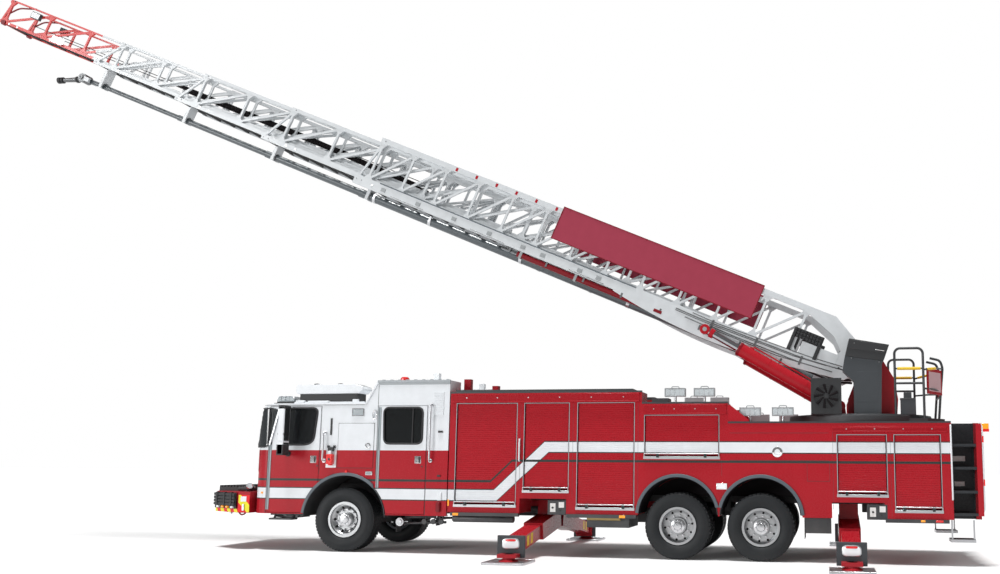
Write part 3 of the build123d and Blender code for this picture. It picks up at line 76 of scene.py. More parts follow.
Socket = bpy.types.NodeSocket
Tree = bpy.types.NodeTree
SIDES = (-1, 1)
SIDE_NAME = {-1: "left", 1: "right"}
TURN = 2 * math.pi
HALF_WIDTH = 1.25
HEEL_X, HEEL_Z = 7.870, 3.250
LADDER_ANGLE = math.radians(23.4)
LADDER_COS, LADDER_SIN = math.cos(LADDER_ANGLE), math.sin(LADDER_ANGLE)
PIPE_DROP = 0.620


class Axis(Enum):
    """A row axis, by its index."""

    X = 0
    Y = 1
    Z = 2


class Pattern(Enum):
    """What the relief of a finish looks like, beside its fine grain."""

    PLAIN = "plain"
    PLATE = "raised diamonds"
    BRUSHED = "brushed along X"
    CELLS = "lamp cells"


class Paintwork(Enum):
    """Which stripes and fields of colour a paint carries."""

    NONE = "one colour"
    CAB = "white over red with stripes"
    BODY = "red with stripes"
    CHEVRON = "slanting bands"
    LADDER = "pale with a red tip"
    # Rims: the metal inboard of a plane is painted dark, as painted shade on the inner rims and discs.
    SHADED_DISC = "bright outboard, dark inboard"
    DECK = "dark deck under red yokes"


# ---------------------------------------------------------------- node graphs
class Graph:
    """Short calls for wiring one node tree."""

    def __init__(self, tree: Tree) -> None:
        """Work on this tree."""
        self.tree = tree

    def add(self, kind: str, inputs: dict[int | str, object] | None = None, **settings: object) -> Node:
        """Add a shader node.

        Args:
            kind: Blender's name for its type, after "ShaderNode".
            inputs: a socket or a constant for each input, by name or index.
            settings: its plain properties.

        Returns:
            The new node.
        """
        node = self.tree.nodes.new("ShaderNode" + kind)
        for key, value in settings.items():
            setattr(node, key, value)
        for key, value in (inputs or {}).items():
            self.feed(node.inputs[key], value)
        return node

    def feed(self, socket: Socket, value: object) -> None:
        """Link a socket or write a constant into an input."""
        if isinstance(value, Socket):
            self.tree.links.new(value, socket)
        else:
            socket.default_value = value

    def calc(self, operation: str, a: object, b: object = 0.0, clamp: bool = False) -> Socket:
        """The output of a math node.

        Args:
            operation: Blender's name of the operation.
            a: first value or socket.
            b: second value or socket.
            clamp: whether the result is held between 0 and 1.

        Returns:
            Its output socket.
        """
        return self.add("Math", {0: a, 1: b}, operation=operation, use_clamp=clamp).outputs[0]

    def times(self, *factors: object) -> Socket:
        """The product of all factors."""
        product = factors[0]
        for factor in factors[1:]:
            product = self.calc("MULTIPLY", product, factor)
        return product

    def plus(self, a: object, b: object) -> Socket:
        """a + b."""
        return self.calc("ADD", a, b)

    def minus(self, a: object, b: object, clamp: bool = False) -> Socket:
        """a - b."""
        return self.calc("SUBTRACT", a, b, clamp)

    def size(self, a: object) -> Socket:
        """a without its sign."""
        return self.calc("ABSOLUTE", a)

    def above(self, value: object, limit: object) -> Socket:
        """1 where value is greater than limit."""
        return self.calc("GREATER_THAN", value, limit)

    def below(self, value: object, limit: object) -> Socket:
        """1 where value is less than limit."""
        return self.calc("LESS_THAN", value, limit)

    def between(self, value: object, low: object, high: object) -> Socket:
        """1 where value lies between low and high."""
        return self.times(self.above(value, low), self.below(value, high))

    def ramp(self, value: object, low: object, high: object, to_low: object = 0.0, to_high: object = 1.0,
             smooth: bool = False) -> Socket:
        """A clamped map from low..high to to_low..to_high, eased at both ends where smooth is set."""
        return self.add("MapRange", dict(enumerate((value, low, high, to_low, to_high))), clamp=True,
                        interpolation_type="SMOOTHSTEP" if smooth else "LINEAR").outputs[0]

    def blend(self, share: object, a: object, b: object, mode: str = "MIX") -> Socket:
        """A colour between a and b by share, or a tinted by b in another mode."""
        return self.add("Mix", {0: share, 6: a, 7: b}, data_type="RGBA", blend_type=mode).outputs[2]

    def noise(self, vector: Socket, scale: object, **inputs: object) -> Socket:
        """Soft noise at a scale."""
        return self.add("TexNoise", {"Vector": vector, "Scale": scale, **inputs}).outputs[0]

    def place(self) -> tuple[Socket, ...]:
        """The point on the surface in the object's own frame: vector, x, y, z."""
        vector = self.add("TexCoord").outputs["Object"]
        return (vector, *self.add("SeparateXYZ", {0: vector}).outputs)

    def group(self, tree: Tree, output: str | int = 0, **values: object) -> Socket:
        """One output of a node group placed with these input values."""
        return self.add("Group", values, node_tree=tree).outputs[output]


class Group(Graph):
    """A shared effect of float sockets."""

    def __init__(self, name: str, inputs: dict[str, float], *outputs: str) -> None:
        """Start the group.

        Args:
            name: the group's name.
            inputs: each input's name and default.
            outputs: the outputs' names.
        """
        super().__init__(bpy.data.node_groups.new(name, "ShaderNodeTree"))
        for key, value in inputs.items():
            socket = self.tree.interface.new_socket(key, in_out="INPUT", socket_type="NodeSocketFloat")
            socket.default_value = value
        for key in outputs:
            self.tree.interface.new_socket(key, in_out="OUTPUT", socket_type="NodeSocketFloat")
        self.given = self.tree.nodes.new("NodeGroupInput").outputs
        self.result = self.tree.nodes.new("NodeGroupOutput").inputs

    def done(self, **values: Socket) -> Tree:
        """Feed the outputs and hand over the tree."""
        for key, value in values.items():
            self.feed(self.result[key], value)
        return self.tree


def mottle_group() -> Tree:
    """Soft uneven patches at a given scale."""
    g = Group("mottle", {"Scale": 8.0, "Detail": 3.0}, "Value")
    return g.done(Value=g.noise(g.place()[0], g.given["Scale"], Detail=g.given["Detail"]))


def dust_group() -> Tree:
    """Road dust: most near the ground, broken up by patches."""
    g = Group("road_dust", {"Reach": 1.0, "Amount": 0.3}, "Mask")
    vector, _, _, z = g.place()
    patches = g.ramp(g.noise(vector, 3.5, Detail=6.0), 0.35, 0.7)
    low = g.ramp(z, 0.0, g.given["Reach"], 1.0, 0.0, smooth=True)
    return g.done(Mask=g.calc("MULTIPLY", g.times(low, patches), g.given["Amount"], clamp=True))


def stripe_group() -> Tree:
    """The white band that climbs along the side, its dark edges and the thin dark line beside it."""
    g = Group("side_stripes", {"Edge": 0.017}, "White", "Dark")
    _, x, y, z = g.place()
    edge = g.given["Edge"]
    on_side = g.times(g.above(g.size(y), 1.02), g.below(x, 9.068))
    top = g.ramp(x, 1.765, 2.625, 1.061, 1.855)
    foot = g.ramp(x, 1.815, 2.697, 0.888, 1.693)
    white = g.between(z, foot, top)
    wide = g.between(z, g.minus(foot, edge), g.plus(top, edge))
    line = g.ramp(x, 1.705, 2.072, 1.205, 1.547)
    thin = g.below(g.size(g.minus(z, line)), 0.019)
    dark = g.calc("MAXIMUM", g.minus(wide, white, clamp=True), thin)
    return g.done(White=g.times(white, on_side), Dark=g.times(dark, on_side))


def slant_group() -> Tree:
    """Slanting bands for bumper ends and the tail."""
    g = Group("slanting_bands", {"Pitch": 0.34}, "Mask")
    _, x, y, z = g.place()
    run = g.plus(g.plus(z, g.size(y)), x)
    return g.done(Mask=g.above(g.calc("FRACT", g.calc("DIVIDE", run, g.given["Pitch"])), 0.5))


def plate_group() -> Tree:
    """Raised diamonds of tread plate, as a height."""
    g = Group("tread_plate", {"Pitch": 0.04}, "Height")
    _, x, y, z = g.place()
    waves = [g.size(g.calc("SINE", g.times(g.calc("DIVIDE", run, g.given["Pitch"]), math.pi)))
             for run in (g.plus(g.plus(x, z), y), g.minus(g.plus(x, z), y))]
    return g.done(Height=g.ramp(g.times(*waves), 0.55, 0.8, smooth=True))


class Effects:
    """The node groups that the finishes share, each built once."""

    def __init__(self) -> None:
        """Build every group."""
        self.mottle = mottle_group()
        self.dust = dust_group()
        self.stripes = stripe_group()
        self.slant = slant_group()
        self.plate = plate_group()


# ---------------------------------------------------------------- finishes
RED = (0.40, 0.013, 0.022)
WHITE = (0.78, 0.81, 0.84)
PALE = (0.62, 0.65, 0.67)
DARK = (0.035, 0.038, 0.042)
YELLOW = (0.85, 0.80, 0.03)
DUST = (0.22, 0.21, 0.20)
STRIPE_DARK = (0.042, 0.052, 0.050)
STEEL = (0.36, 0.41, 0.43)
GRIME = (0.25, 0.24, 0.23)
TIP_RED = (0.66, 0.035, 0.03)
PIPE_GREY = (0.085, 0.10, 0.11)
HINGE_DARK = (0.03, 0.033, 0.035)
CAB_SPLIT_Z = 1.709
YOKE_Z = 2.320


@dataclass(frozen=True)
class Finish:
    """One surface: its colour, gloss, relief, what it carries and the name of a record slot."""

    name: str
    colour: Point
    roughness: float = 0.4
    slot: str = "dark_steel"
    metallic: float = 0.0
    coat: float = 0.0
    dust: float = 0.15
    shade: float = 0.08
    grain: float = 60.0
    relief: float = 0.0002
    pattern: Pattern = Pattern.PLAIN
    paintwork: Paintwork = Paintwork.NONE
    see_through: float = 0.0
    glow: float = 0.0
    specular: float = 0.5

    def coloured(self, g: Graph, effects: Effects) -> object:
        """The base colour with its stripes and fields.

        Args:
            g: the material's graph.
            effects: the shared groups.

        Returns:
            A colour or the socket that gives it.
        """
        base, kind = (*self.colour, 1.0), self.paintwork
        if kind is Paintwork.NONE:
            return base
        if kind is Paintwork.CHEVRON:
            return g.blend(g.group(effects.slant), base, (*YELLOW, 1.0))
        _, x, y, z = g.place()
        if kind is Paintwork.SHADED_DISC:
            # Painted shade: rim metal inboard of this plane turns dark.
            limit = g.minus(1.030, g.times(g.above(x, 2.0), 0.105))
            return g.blend(g.below(g.size(y), limit), base, (*DARK, 1.0))
        if kind is Paintwork.DECK:
            return g.blend(g.above(z, YOKE_Z), base, (*RED, 1.0))
        if kind is Paintwork.LADDER:
            return self.along_ladder(g, base, (x, y, z))
        if kind is Paintwork.CAB:
            return self.hinged(g, effects, g.blend(g.above(z, CAB_SPLIT_Z), base, (*WHITE, 1.0)), (x, y, z))
        # Painted shade: the body inside the rear step wells is painted dark.
        recess = g.times(g.between(x, 9.092, 9.449), g.above(g.size(y), 0.85))
        return self.striped(g, effects, g.blend(recess, base, (*DARK, 1.0)))

    @staticmethod
    def along_ladder(g: Graph, base: object, place: tuple[Socket, ...]) -> Socket:
        """The ladder's paint: red at the tip, grey on the water pipe below.

        Args:
            g: the material's graph.
            base: the colour of the sections.
            place: x, y and z of the surface point.

        Returns:
            The socket of the colour.
        """
        x, y, z = place
        back, up = g.minus(HEEL_X, x), g.minus(z, HEEL_Z)
        run = g.plus(g.times(back, LADDER_COS), g.times(up, LADDER_SIN))
        lift = g.minus(g.times(up, LADDER_COS), g.times(back, LADDER_SIN))
        base = g.blend(g.times(g.above(run, 16.5), g.above(lift, -0.45)), base, (*TIP_RED, 1.0))
        away = g.calc("SQRT", g.plus(g.calc("POWER", y, 2.0), g.calc("POWER", g.plus(lift, PIPE_DROP), 2.0)))
        return g.blend(g.below(away, 0.082), base, (*PIPE_GREY, 1.0))

    @staticmethod
    def striped(g: Graph, effects: Effects, base: object) -> Socket:
        """The side stripes laid over a colour."""
        stripes = g.add("Group", node_tree=effects.stripes).outputs
        return g.blend(stripes["Dark"], g.blend(stripes["White"], base, (*WHITE, 1.0)), (*STRIPE_DARK, 1.0))

    def hinged(self, g: Graph, effects: Effects, base: object, place: tuple[Socket, ...]) -> Socket:
        """The cab's stripes, and its long door hinges in steel, dark where the front one crosses the corner pane.

        Args:
            g: the material's graph.
            effects: the shared groups.
            base: the colour below the stripes.
            place: x, y and z of the surface point.

        Returns:
            The socket of the colour.
        """
        x, y, z = place
        strips = g.calc("MAXIMUM", g.between(x, -2.352, -2.286), g.between(x, -0.332, -0.266))
        steel = g.times(g.above(g.size(y), 1.2506), strips)
        colour = g.blend(steel, self.striped(g, effects, base), (*STEEL, 1.0))
        return g.blend(g.times(steel, g.below(x, -2.0), g.above(z, 1.800)), colour, (*HINGE_DARK, 1.0))

    def height(self, g: Graph, effects: Effects, fine: Socket) -> Socket:
        """The relief of the surface.

        Args:
            g: the material's graph.
            effects: the shared groups.
            fine: the fine grain.

        Returns:
            A socket with the height.
        """
        if self.pattern is Pattern.PLATE:
            return g.plus(g.group(effects.plate, Pitch=0.045), g.times(fine, 0.1))
        if self.pattern is Pattern.BRUSHED:
            stretch = g.add("Mapping", {"Vector": g.place()[0], "Scale": (2.0, 300.0, 300.0)})
            return g.noise(stretch.outputs[0], 1.0)
        if self.pattern is Pattern.CELLS:
            _, x, _, z = g.place()
            return g.calc("MINIMUM", *(g.size(g.calc("SINE", g.times(run, 110.0))) for run in (x, z)))
        return fine

    def make(self, effects: Effects) -> bpy.types.Material:
        """Build the material.

        Args:
            effects: the shared groups.

        Returns:
            The new material.
        """
        material = bpy.data.materials.new(self.name)
        material.use_nodes = True
        g = Graph(material.node_tree)
        shader = next(node for node in g.tree.nodes if node.type == "BSDF_PRINCIPLED")
        patches = g.group(effects.mottle, Scale=7.0, Detail=4.0)
        fine = g.group(effects.mottle, Scale=self.grain, Detail=2.0)
        dusty = g.group(effects.dust, Reach=1.4, Amount=self.dust)
        worn = g.blend(g.ramp(patches, 0.3, 0.75, 0.0, self.shade), self.coloured(g, effects), (*GRIME, 1.0),
                       "MULTIPLY")
        rough = g.ramp(fine, 0.3, 0.7, max(0.02, self.roughness - 0.06), self.roughness + 0.07)
        bump = g.add("Bump", {"Strength": 0.5, "Distance": self.relief, "Height": self.height(g, effects, fine)})
        values = {
            "Base Color": g.blend(dusty, worn, (*DUST, 1.0)),
            "Roughness": g.calc("ADD", rough, g.times(dusty, 0.4), clamp=True),
            "Metallic": self.metallic, "Specular IOR Level": self.specular,
            "Coat Weight": self.coat, "Coat Roughness": 0.05, "Normal": bump.outputs[0]}
        if self.see_through:
            values["Transmission Weight"] = self.see_through
        if self.glow:
            values |= {"Emission Color": (*self.colour, 1.0), "Emission Strength": self.glow}
        for key, value in values.items():
            g.feed(shader.inputs[key], value)
        return material


LENS = {"slot": "lamp_plastic", "dust": 0.0, "pattern": Pattern.CELLS, "relief": 0.002}
PAINT = {"slot": "red_paint", "coat": 0.05, "dust": 0.05, "specular": 0.15}
METAL = {"slot": "polished_metal", "metallic": 1.0}
FINISHES = (
    Finish("cab_paint", RED, 0.24, "red_paint", coat=0.06, dust=0.05, specular=0.18, paintwork=Paintwork.CAB),
    Finish("body_paint", RED, 0.27, paintwork=Paintwork.BODY, **PAINT),
    Finish("plain_red", RED, 0.27, **PAINT),
    Finish("deep_red", (0.20, 0.008, 0.014), 0.35, "red_paint", coat=0.05, specular=0.2),
    Finish("plain_white", WHITE, 0.28, "white_paint", coat=0.4, dust=0.05),
    Finish("ladder_paint", PALE, 0.34, "ladder_metal", coat=0.2, dust=0.0, shade=0.14, paintwork=Paintwork.LADDER),
    Finish("chevron_paint", (0.80, 0.012, 0.018), 0.3, "red_paint", dust=0.03, specular=0.2,
           paintwork=Paintwork.CHEVRON),
    Finish("dark_paint", DARK, 0.42, dust=0.3),
    Finish("grey_paint", (0.052, 0.058, 0.064), 0.45, "grey_paint", dust=0.0, specular=0.3),
    Finish("black_plastic", (0.02, 0.021, 0.023), 0.55, grain=220.0, relief=0.0005),
    Finish("cast_iron", (0.06, 0.06, 0.062), 0.7, metallic=0.4, dust=0.5, relief=0.001),
    Finish("tyre_rubber", (0.012, 0.014, 0.016), 0.6, "tyre", specular=0.3, dust=0.05, grain=90.0, relief=0.0006),
    Finish("soft_rubber", (0.028, 0.028, 0.03), 0.7, grain=140.0),
    Finish("polished_metal", (0.66, 0.67, 0.69), 0.2, dust=0.2, **METAL),
    Finish("rim_metal", (0.46, 0.47, 0.48), 0.34, dust=0.05, paintwork=Paintwork.SHADED_DISC, **METAL),
    Finish("flood_glass", (0.55, 0.60, 0.62), 0.15, coat=0.4, **LENS),
    Finish("gloss_black", (0.024, 0.028, 0.031), 0.08, dust=0.0, shade=0.03, coat=0.5),
    Finish("rod_metal", (0.42, 0.43, 0.45), 0.14, dust=0.0, shade=0.03, **METAL),
    Finish("arch_grey", (0.085, 0.105, 0.125), 0.45, dust=0.1),
    Finish("night_black", (0.012, 0.010, 0.011), 0.8, dust=0.0, specular=0.1),
    Finish("bracket_grey", (0.30, 0.32, 0.33), 0.4, "polished_metal", dust=0.1),
    Finish("rose_panel", (0.62, 0.40, 0.42), 0.45, "white_paint", dust=0.0, pattern=Pattern.BRUSHED),
    Finish("edge_grey", (0.36, 0.39, 0.41), 0.35, "polished_metal", dust=0.05, pattern=Pattern.BRUSHED),
    Finish("lamp_glass", (0.30, 0.34, 0.36), 0.15, coat=0.4, **LENS),
    Finish("deck_paint", (0.05, 0.053, 0.057), 0.5, dust=0.1, specular=0.3, paintwork=Paintwork.DECK),
    Finish("chrome", (0.86, 0.87, 0.88), 0.06, dust=0.0, shade=0.03, **METAL),
    Finish("satin_metal", (0.60, 0.61, 0.63), 0.34, pattern=Pattern.BRUSHED, **METAL),
    Finish("tread_plate", (0.62, 0.63, 0.65), 0.3, "shutter_metal", 1.0, pattern=Pattern.PLATE, relief=0.002),
    Finish("dark_plate", (0.05, 0.052, 0.056), 0.5, "shutter_metal", 0.3, pattern=Pattern.PLATE, relief=0.002),
    Finish("dark_glass", (0.05, 0.058, 0.062), 0.04, dust=0.0, shade=0.0, relief=0.0, see_through=0.85),
    Finish("lamp_lens", (0.80, 0.83, 0.85), 0.12, coat=0.6, glow=0.12, **LENS),
    Finish("red_lens", (0.65, 0.01, 0.01), 0.12, coat=0.6, glow=0.2, **LENS),
    Finish("amber_lens", (0.9, 0.32, 0.01), 0.12, coat=0.6, glow=0.3, **LENS),
    Finish("gunmetal", (0.16, 0.165, 0.17), 0.4, metallic=0.8, dust=0.0),
    Finish("grip_yellow", (0.80, 0.52, 0.02), 0.5, "grey_paint", dust=0.0, grain=180.0),
    Finish("seat_cloth", (0.045, 0.045, 0.05), 0.9, "interior_plastic", grain=400.0, relief=0.001, dust=0.0),
    Finish("trim_plastic", (0.10, 0.10, 0.105), 0.6, grain=260.0, relief=0.0006, dust=0.0),
    Finish("sign_red", (0.33, 0.045, 0.075), 0.5, dust=0.0, specular=0.1),
    Finish("reflector", (0.80, 0.80, 0.78), 0.3, "white_paint", dust=0.0, pattern=Pattern.CELLS, relief=0.0006),
    Finish("ochre_paint", (0.30, 0.22, 0.07), 0.45),
)


class Palette:
    """Every finish, made once and found by name."""

    def __init__(self) -> None:
        """Build the shared effects and the materials."""
        effects = Effects()
        self.materials = {finish.name: finish.make(effects) for finish in FINISHES}
        self.slots = {finish.name: finish.slot for finish in FINISHES}

    def coat(self, frame: dict, finishes: dict[str, str]) -> None:
        """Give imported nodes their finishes.

        Args:
            finishes: the nodes of each finish, by its name, with spaces between them.
        """
        for finish, nodes in finishes.items():
            for node in nodes.split():
                slots = frame["nodes"][node].data.materials
                slots.clear()
                slots.append(self.materials[finish])


# ---------------------------------------------------------------- forms
def across(points: Iterable[Pair], axis: Axis, at: float) -> list[Vector]:
    """Points of a plane outline set at one place along an axis.

    Args:
        points: outline corners in the two other axes, in X, Y, Z order.
        axis: the axis that the plane faces.
        at: the place along it.

    Returns:
        Points in space.
    """
    made = []
    for a, b in points:
        values = [a, b]
        values.insert(axis.value, at)
        made.append(Vector(values))
    return made


def turned(count: int, start: float = 0.0, stop: float = TURN) -> list[float]:
    """Angles at even steps from start on, short of stop."""
    return [start + (stop - start) * k / count for k in range(count)]


def mirrored(*spans: float) -> list[float]:
    """Each value with both signs."""
    return [sign * value for value in spans for sign in SIDES]


class Form:
    """Geometry of one piece, gathered part by part; points are given for the side that it is on."""

    palette: ClassVar[Palette]

    def __init__(self, side: int = 1, base: Matrix | None = None) -> None:
        """Start empty.

        Args:
            side: -1 to mirror what is added to the left, 1 to leave it.
            base: maps the given points into the row frame.
        """
        self.mesh = bmesh.new()
        self.side = side
        self.base = base or Matrix.Identity(4)

    def at(self, point: Iterable[float]) -> Vector:
        """A point on the form's present side."""
        x, y, z = point
        return Vector((x, self.side * y, z))

    def skin(self, rings: list[list[Vector]], closed: bool = True, caps: bool = True, smooth: bool = False) -> None:
        """Skin rings of equal length, one after the other, as they are given.

        Args:
            rings: lists of points.
            closed: whether each ring joins up with itself.
            caps: whether the end rings are filled.
            smooth: whether the sides are shaded smooth.
        """
        made = [[self.mesh.verts.new(self.base @ point) for point in ring] for ring in rings]
        count = len(made[0])
        for low, high in zip(made, made[1:]):
            for i in range(count if closed else count - 1):
                j = (i + 1) % count
                self.mesh.faces.new((low[i], low[j], high[j], high[i])).smooth = smooth
        if caps:
            self.mesh.faces.new(reversed(made[0]))
            self.mesh.faces.new(made[-1])

    def hull(self, rings: list[list[Iterable[float]]], smooth: bool = False) -> None:
        """A closed body through rings of points on the form's side."""
        self.skin([[self.at(point) for point in ring] for ring in rings], smooth=smooth)

    def prism(self, outline: Iterable[Pair], axis: Axis, low: float, high: float) -> None:
        """Extrude an outline along an axis from low to high."""
        self.hull([across(outline, axis, low), across(outline, axis, high)])

    def box(self, x0: float, x1: float, y0: float, y1: float, z0: float, z1: float) -> None:
        """A block between two planes of each axis."""
        if self.side < 0:
            y0, y1 = y1, y0
        self.prism([(x0, y0), (x1, y0), (x1, y1), (x0, y1)], Axis.Z, z0, z1)

    def boxes(self, *rows: Row) -> None:
        """A block for each row of six planes."""
        for row in rows:
            self.box(*row)

    def rim(self, block: Row, axis: Axis, bar: float) -> None:
        """A rectangular frame round a block's edge.

        Args:
            block: its six planes.
            axis: where it is open.
            bar: width of its bars.
        """
        side, self.side = self.side, 1
        if side < 0:
            block = (*block[:2], -block[3], -block[2], *block[4:])
        free = [i for i in range(3) if i != axis.value]
        for index, other in (free, free[::-1]):
            for end in (0, 1):
                part = list(block)
                part[2 * index + 1 - end] = block[2 * index + end] + (bar, -bar)[end]
                if index == free[1]:
                    part[2 * other] += bar
                    part[2 * other + 1] -= bar
                self.box(*part)
        self.side = side

    def rod(self, start: Iterable[float], end: Iterable[float], radius: float, sides: int = 16,
            end_radius: float | None = None) -> None:
        """A straight round bar, or a cone where the radii differ.

        Args:
            start: middle of its first end.
            end: middle of its other end.
            radius: its radius at the start.
            sides: facets round it.
            end_radius: its radius at the end, if that differs.
        """
        a, b = self.at(start), self.at(end)
        along = (b - a).normalized()
        one = along.orthogonal().normalized()
        two = along.cross(one)
        self.skin([[point + r * (math.cos(t) * one + math.sin(t) * two) for t in turned(sides)]
                   for point, r in ((a, radius), (b, radius if end_radius is None else end_radius))], smooth=True)

    def pin(self, x: float, z: float, y0: float, y1: float, radius: float, sides: int = 16) -> None:
        """A round bar along y at one x and z."""
        self.rod((x, y0, z), (x, y1, z), radius, sides)

    def pipe(self, points: Iterable[Iterable[float]], radius: float, sides: int = 10, bend: float = 0.0) -> None:
        """A round tube along straight runs with rounded corners.

        Args:
            points: the corners.
            radius: the tube's radius.
            sides: facets round the tube.
            bend: how far before a corner the rounding starts.
        """
        path = [self.at(point) for point in points]
        if bend:
            rounded = [path[0]]
            for before, here, after in zip(path, path[1:], path[2:]):
                start = here + (before - here).normalized() * bend
                stop = here + (after - here).normalized() * bend
                rounded += [(1 - t) ** 2 * start + 2 * t * (1 - t) * here + t ** 2 * stop
                            for t in (k / 5 for k in range(6))]
            path = rounded + [path[-1]]
        normal = (path[1] - path[0]).orthogonal().normalized()
        rings = []
        for index, here in enumerate(path):
            along = (path[min(len(path) - 1, index + 1)] - path[max(0, index - 1)]).normalized()
            normal = (normal - along * normal.dot(along)).normalized()
            other = along.cross(normal)
            rings.append([here + radius * (math.cos(t) * normal + math.sin(t) * other) for t in turned(sides)])
        self.skin(rings, smooth=True)

    def hoop(self, centre: Point, half_x: float, half_z: float, radius: float, steps: int, sides: int) -> None:
        """A closed oval of tube that faces along y.

        Args:
            centre: its middle.
            half_x: half its length.
            half_z: half its height.
            radius: the tube's radius.
            steps: points round it.
            sides: facets round the tube.
        """
        x, y, z = centre
        ring = [(x + half_x * math.cos(t), y, z + half_z * math.sin(t)) for t in turned(steps)]
        self.pipe(ring + [ring[0]], radius, sides)

    def rail(self, x: float, low: float, high: float, y0: float, y1: float, radius: float, bend: float) -> None:
        """An upright grab rail from skin y0 out to y1 and back."""
        self.pipe([(x, y0, low), (x, y1, low), (x, y1, high), (x, y0, high)], radius, 12, bend)

    def lathe(self, profile: Iterable[Pair], centre: Point, axis: Axis, steps: int = 48, closed: bool = True) -> None:
        """Turn a profile of (along, radius) pairs about an axis.

        Args:
            profile: pairs along and away from the axis.
            centre: the axis' origin.
            axis: its direction; along y, the profile runs outwards.
            steps: facets round it.
            closed: whether the profile joins up with itself.
        """
        sign = self.side if axis is Axis.Y else 1
        direction = Vector([1.0 if i == axis.value else 0.0 for i in range(3)])
        one = direction.orthogonal().normalized()
        two = direction.cross(one)
        rings = [[self.at(centre) + direction * (sign * a) + (math.cos(t) * one + math.sin(t) * two) * r
                  for a, r in profile] for t in turned(steps)]
        self.skin(rings + rings[:1], closed=closed, caps=False, smooth=True)

    def knob(self, profile: Iterable[Pair], centre: Point, axis: Axis, steps: int) -> None:
        """A solid turned body, its profile open from the axis back to it.

        Args:
            profile: pairs along and away from the axis.
            centre: the axis' origin.
            axis: its direction.
            steps: facets round it.
        """
        self.lathe(profile, centre, axis, steps, closed=False)

    def studs(self, centre: Point, pitch_r: float, count: int, radius: float, height: float, sides: int = 6) -> None:
        """A circle of studs or nuts standing outwards along y.

        Args:
            centre: middle of their feet.
            pitch_r: radius of the circle.
            count: how many.
            radius: of one stud.
            height: how far it stands out.
            sides: facets round it.
        """
        step = Vector((0.0, self.side * height, 0.0))
        direction = step.normalized()
        one = direction.orthogonal().normalized()
        two = direction.cross(one)
        side, self.side = self.side, 1
        for t in turned(count):
            foot = Vector((centre[0], side * centre[1], centre[2])) + pitch_r * (math.cos(t) * one + math.sin(t) * two)
            self.rod(foot, foot + step, radius, sides)
        self.side = side

    def piece(self, name: str, finish: str, body: str = "truck", bevel: float = 0.0,
              slot: str = "") -> bpy.types.Object:
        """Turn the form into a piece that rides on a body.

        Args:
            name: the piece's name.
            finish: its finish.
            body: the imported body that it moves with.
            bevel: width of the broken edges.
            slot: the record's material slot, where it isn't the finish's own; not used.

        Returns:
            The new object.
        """
        bmesh.ops.remove_doubles(self.mesh, verts=self.mesh.verts, dist=1e-6)
        bmesh.ops.recalc_face_normals(self.mesh, faces=self.mesh.faces)
        data = bpy.data.meshes.new(name)
        self.mesh.to_mesh(data)
        self.mesh.free()
        data.set_sharp_from_angle(angle=math.radians(40))
        obj = bpy.data.objects.new(name, data)
        bpy.context.scene.collection.objects.link(obj)
        data.materials.append(self.palette.materials[finish])
        if bevel:
            edge = obj.modifiers.new("broken_edges", "BEVEL")
            edge.width = bevel
            edge.segments = 2
            edge.limit_method = "ANGLE"
            edge.angle_limit = math.radians(50)
        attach(obj, body)
        slot or self.palette.slots[finish]
        LOG.info("%s: %d faces on %s", name, len(data.polygons), body)
        return obj


def both(*forms: Form) -> Iterator[str]:
    """Build on the left, then on the right.

    Args:
        forms: what is being built.

    Yields:
        The side's name, while the forms are on that side.
    """
    for side in SIDES:
        for form in forms:
            form.side = side
        yield SIDE_NAME[side]
    for form in forms:
        form.side = 1


def forms(count: int, side: int = 1) -> list[Form]:
    """Empty forms, all on one side."""
    return [Form(side) for _ in range(count)]


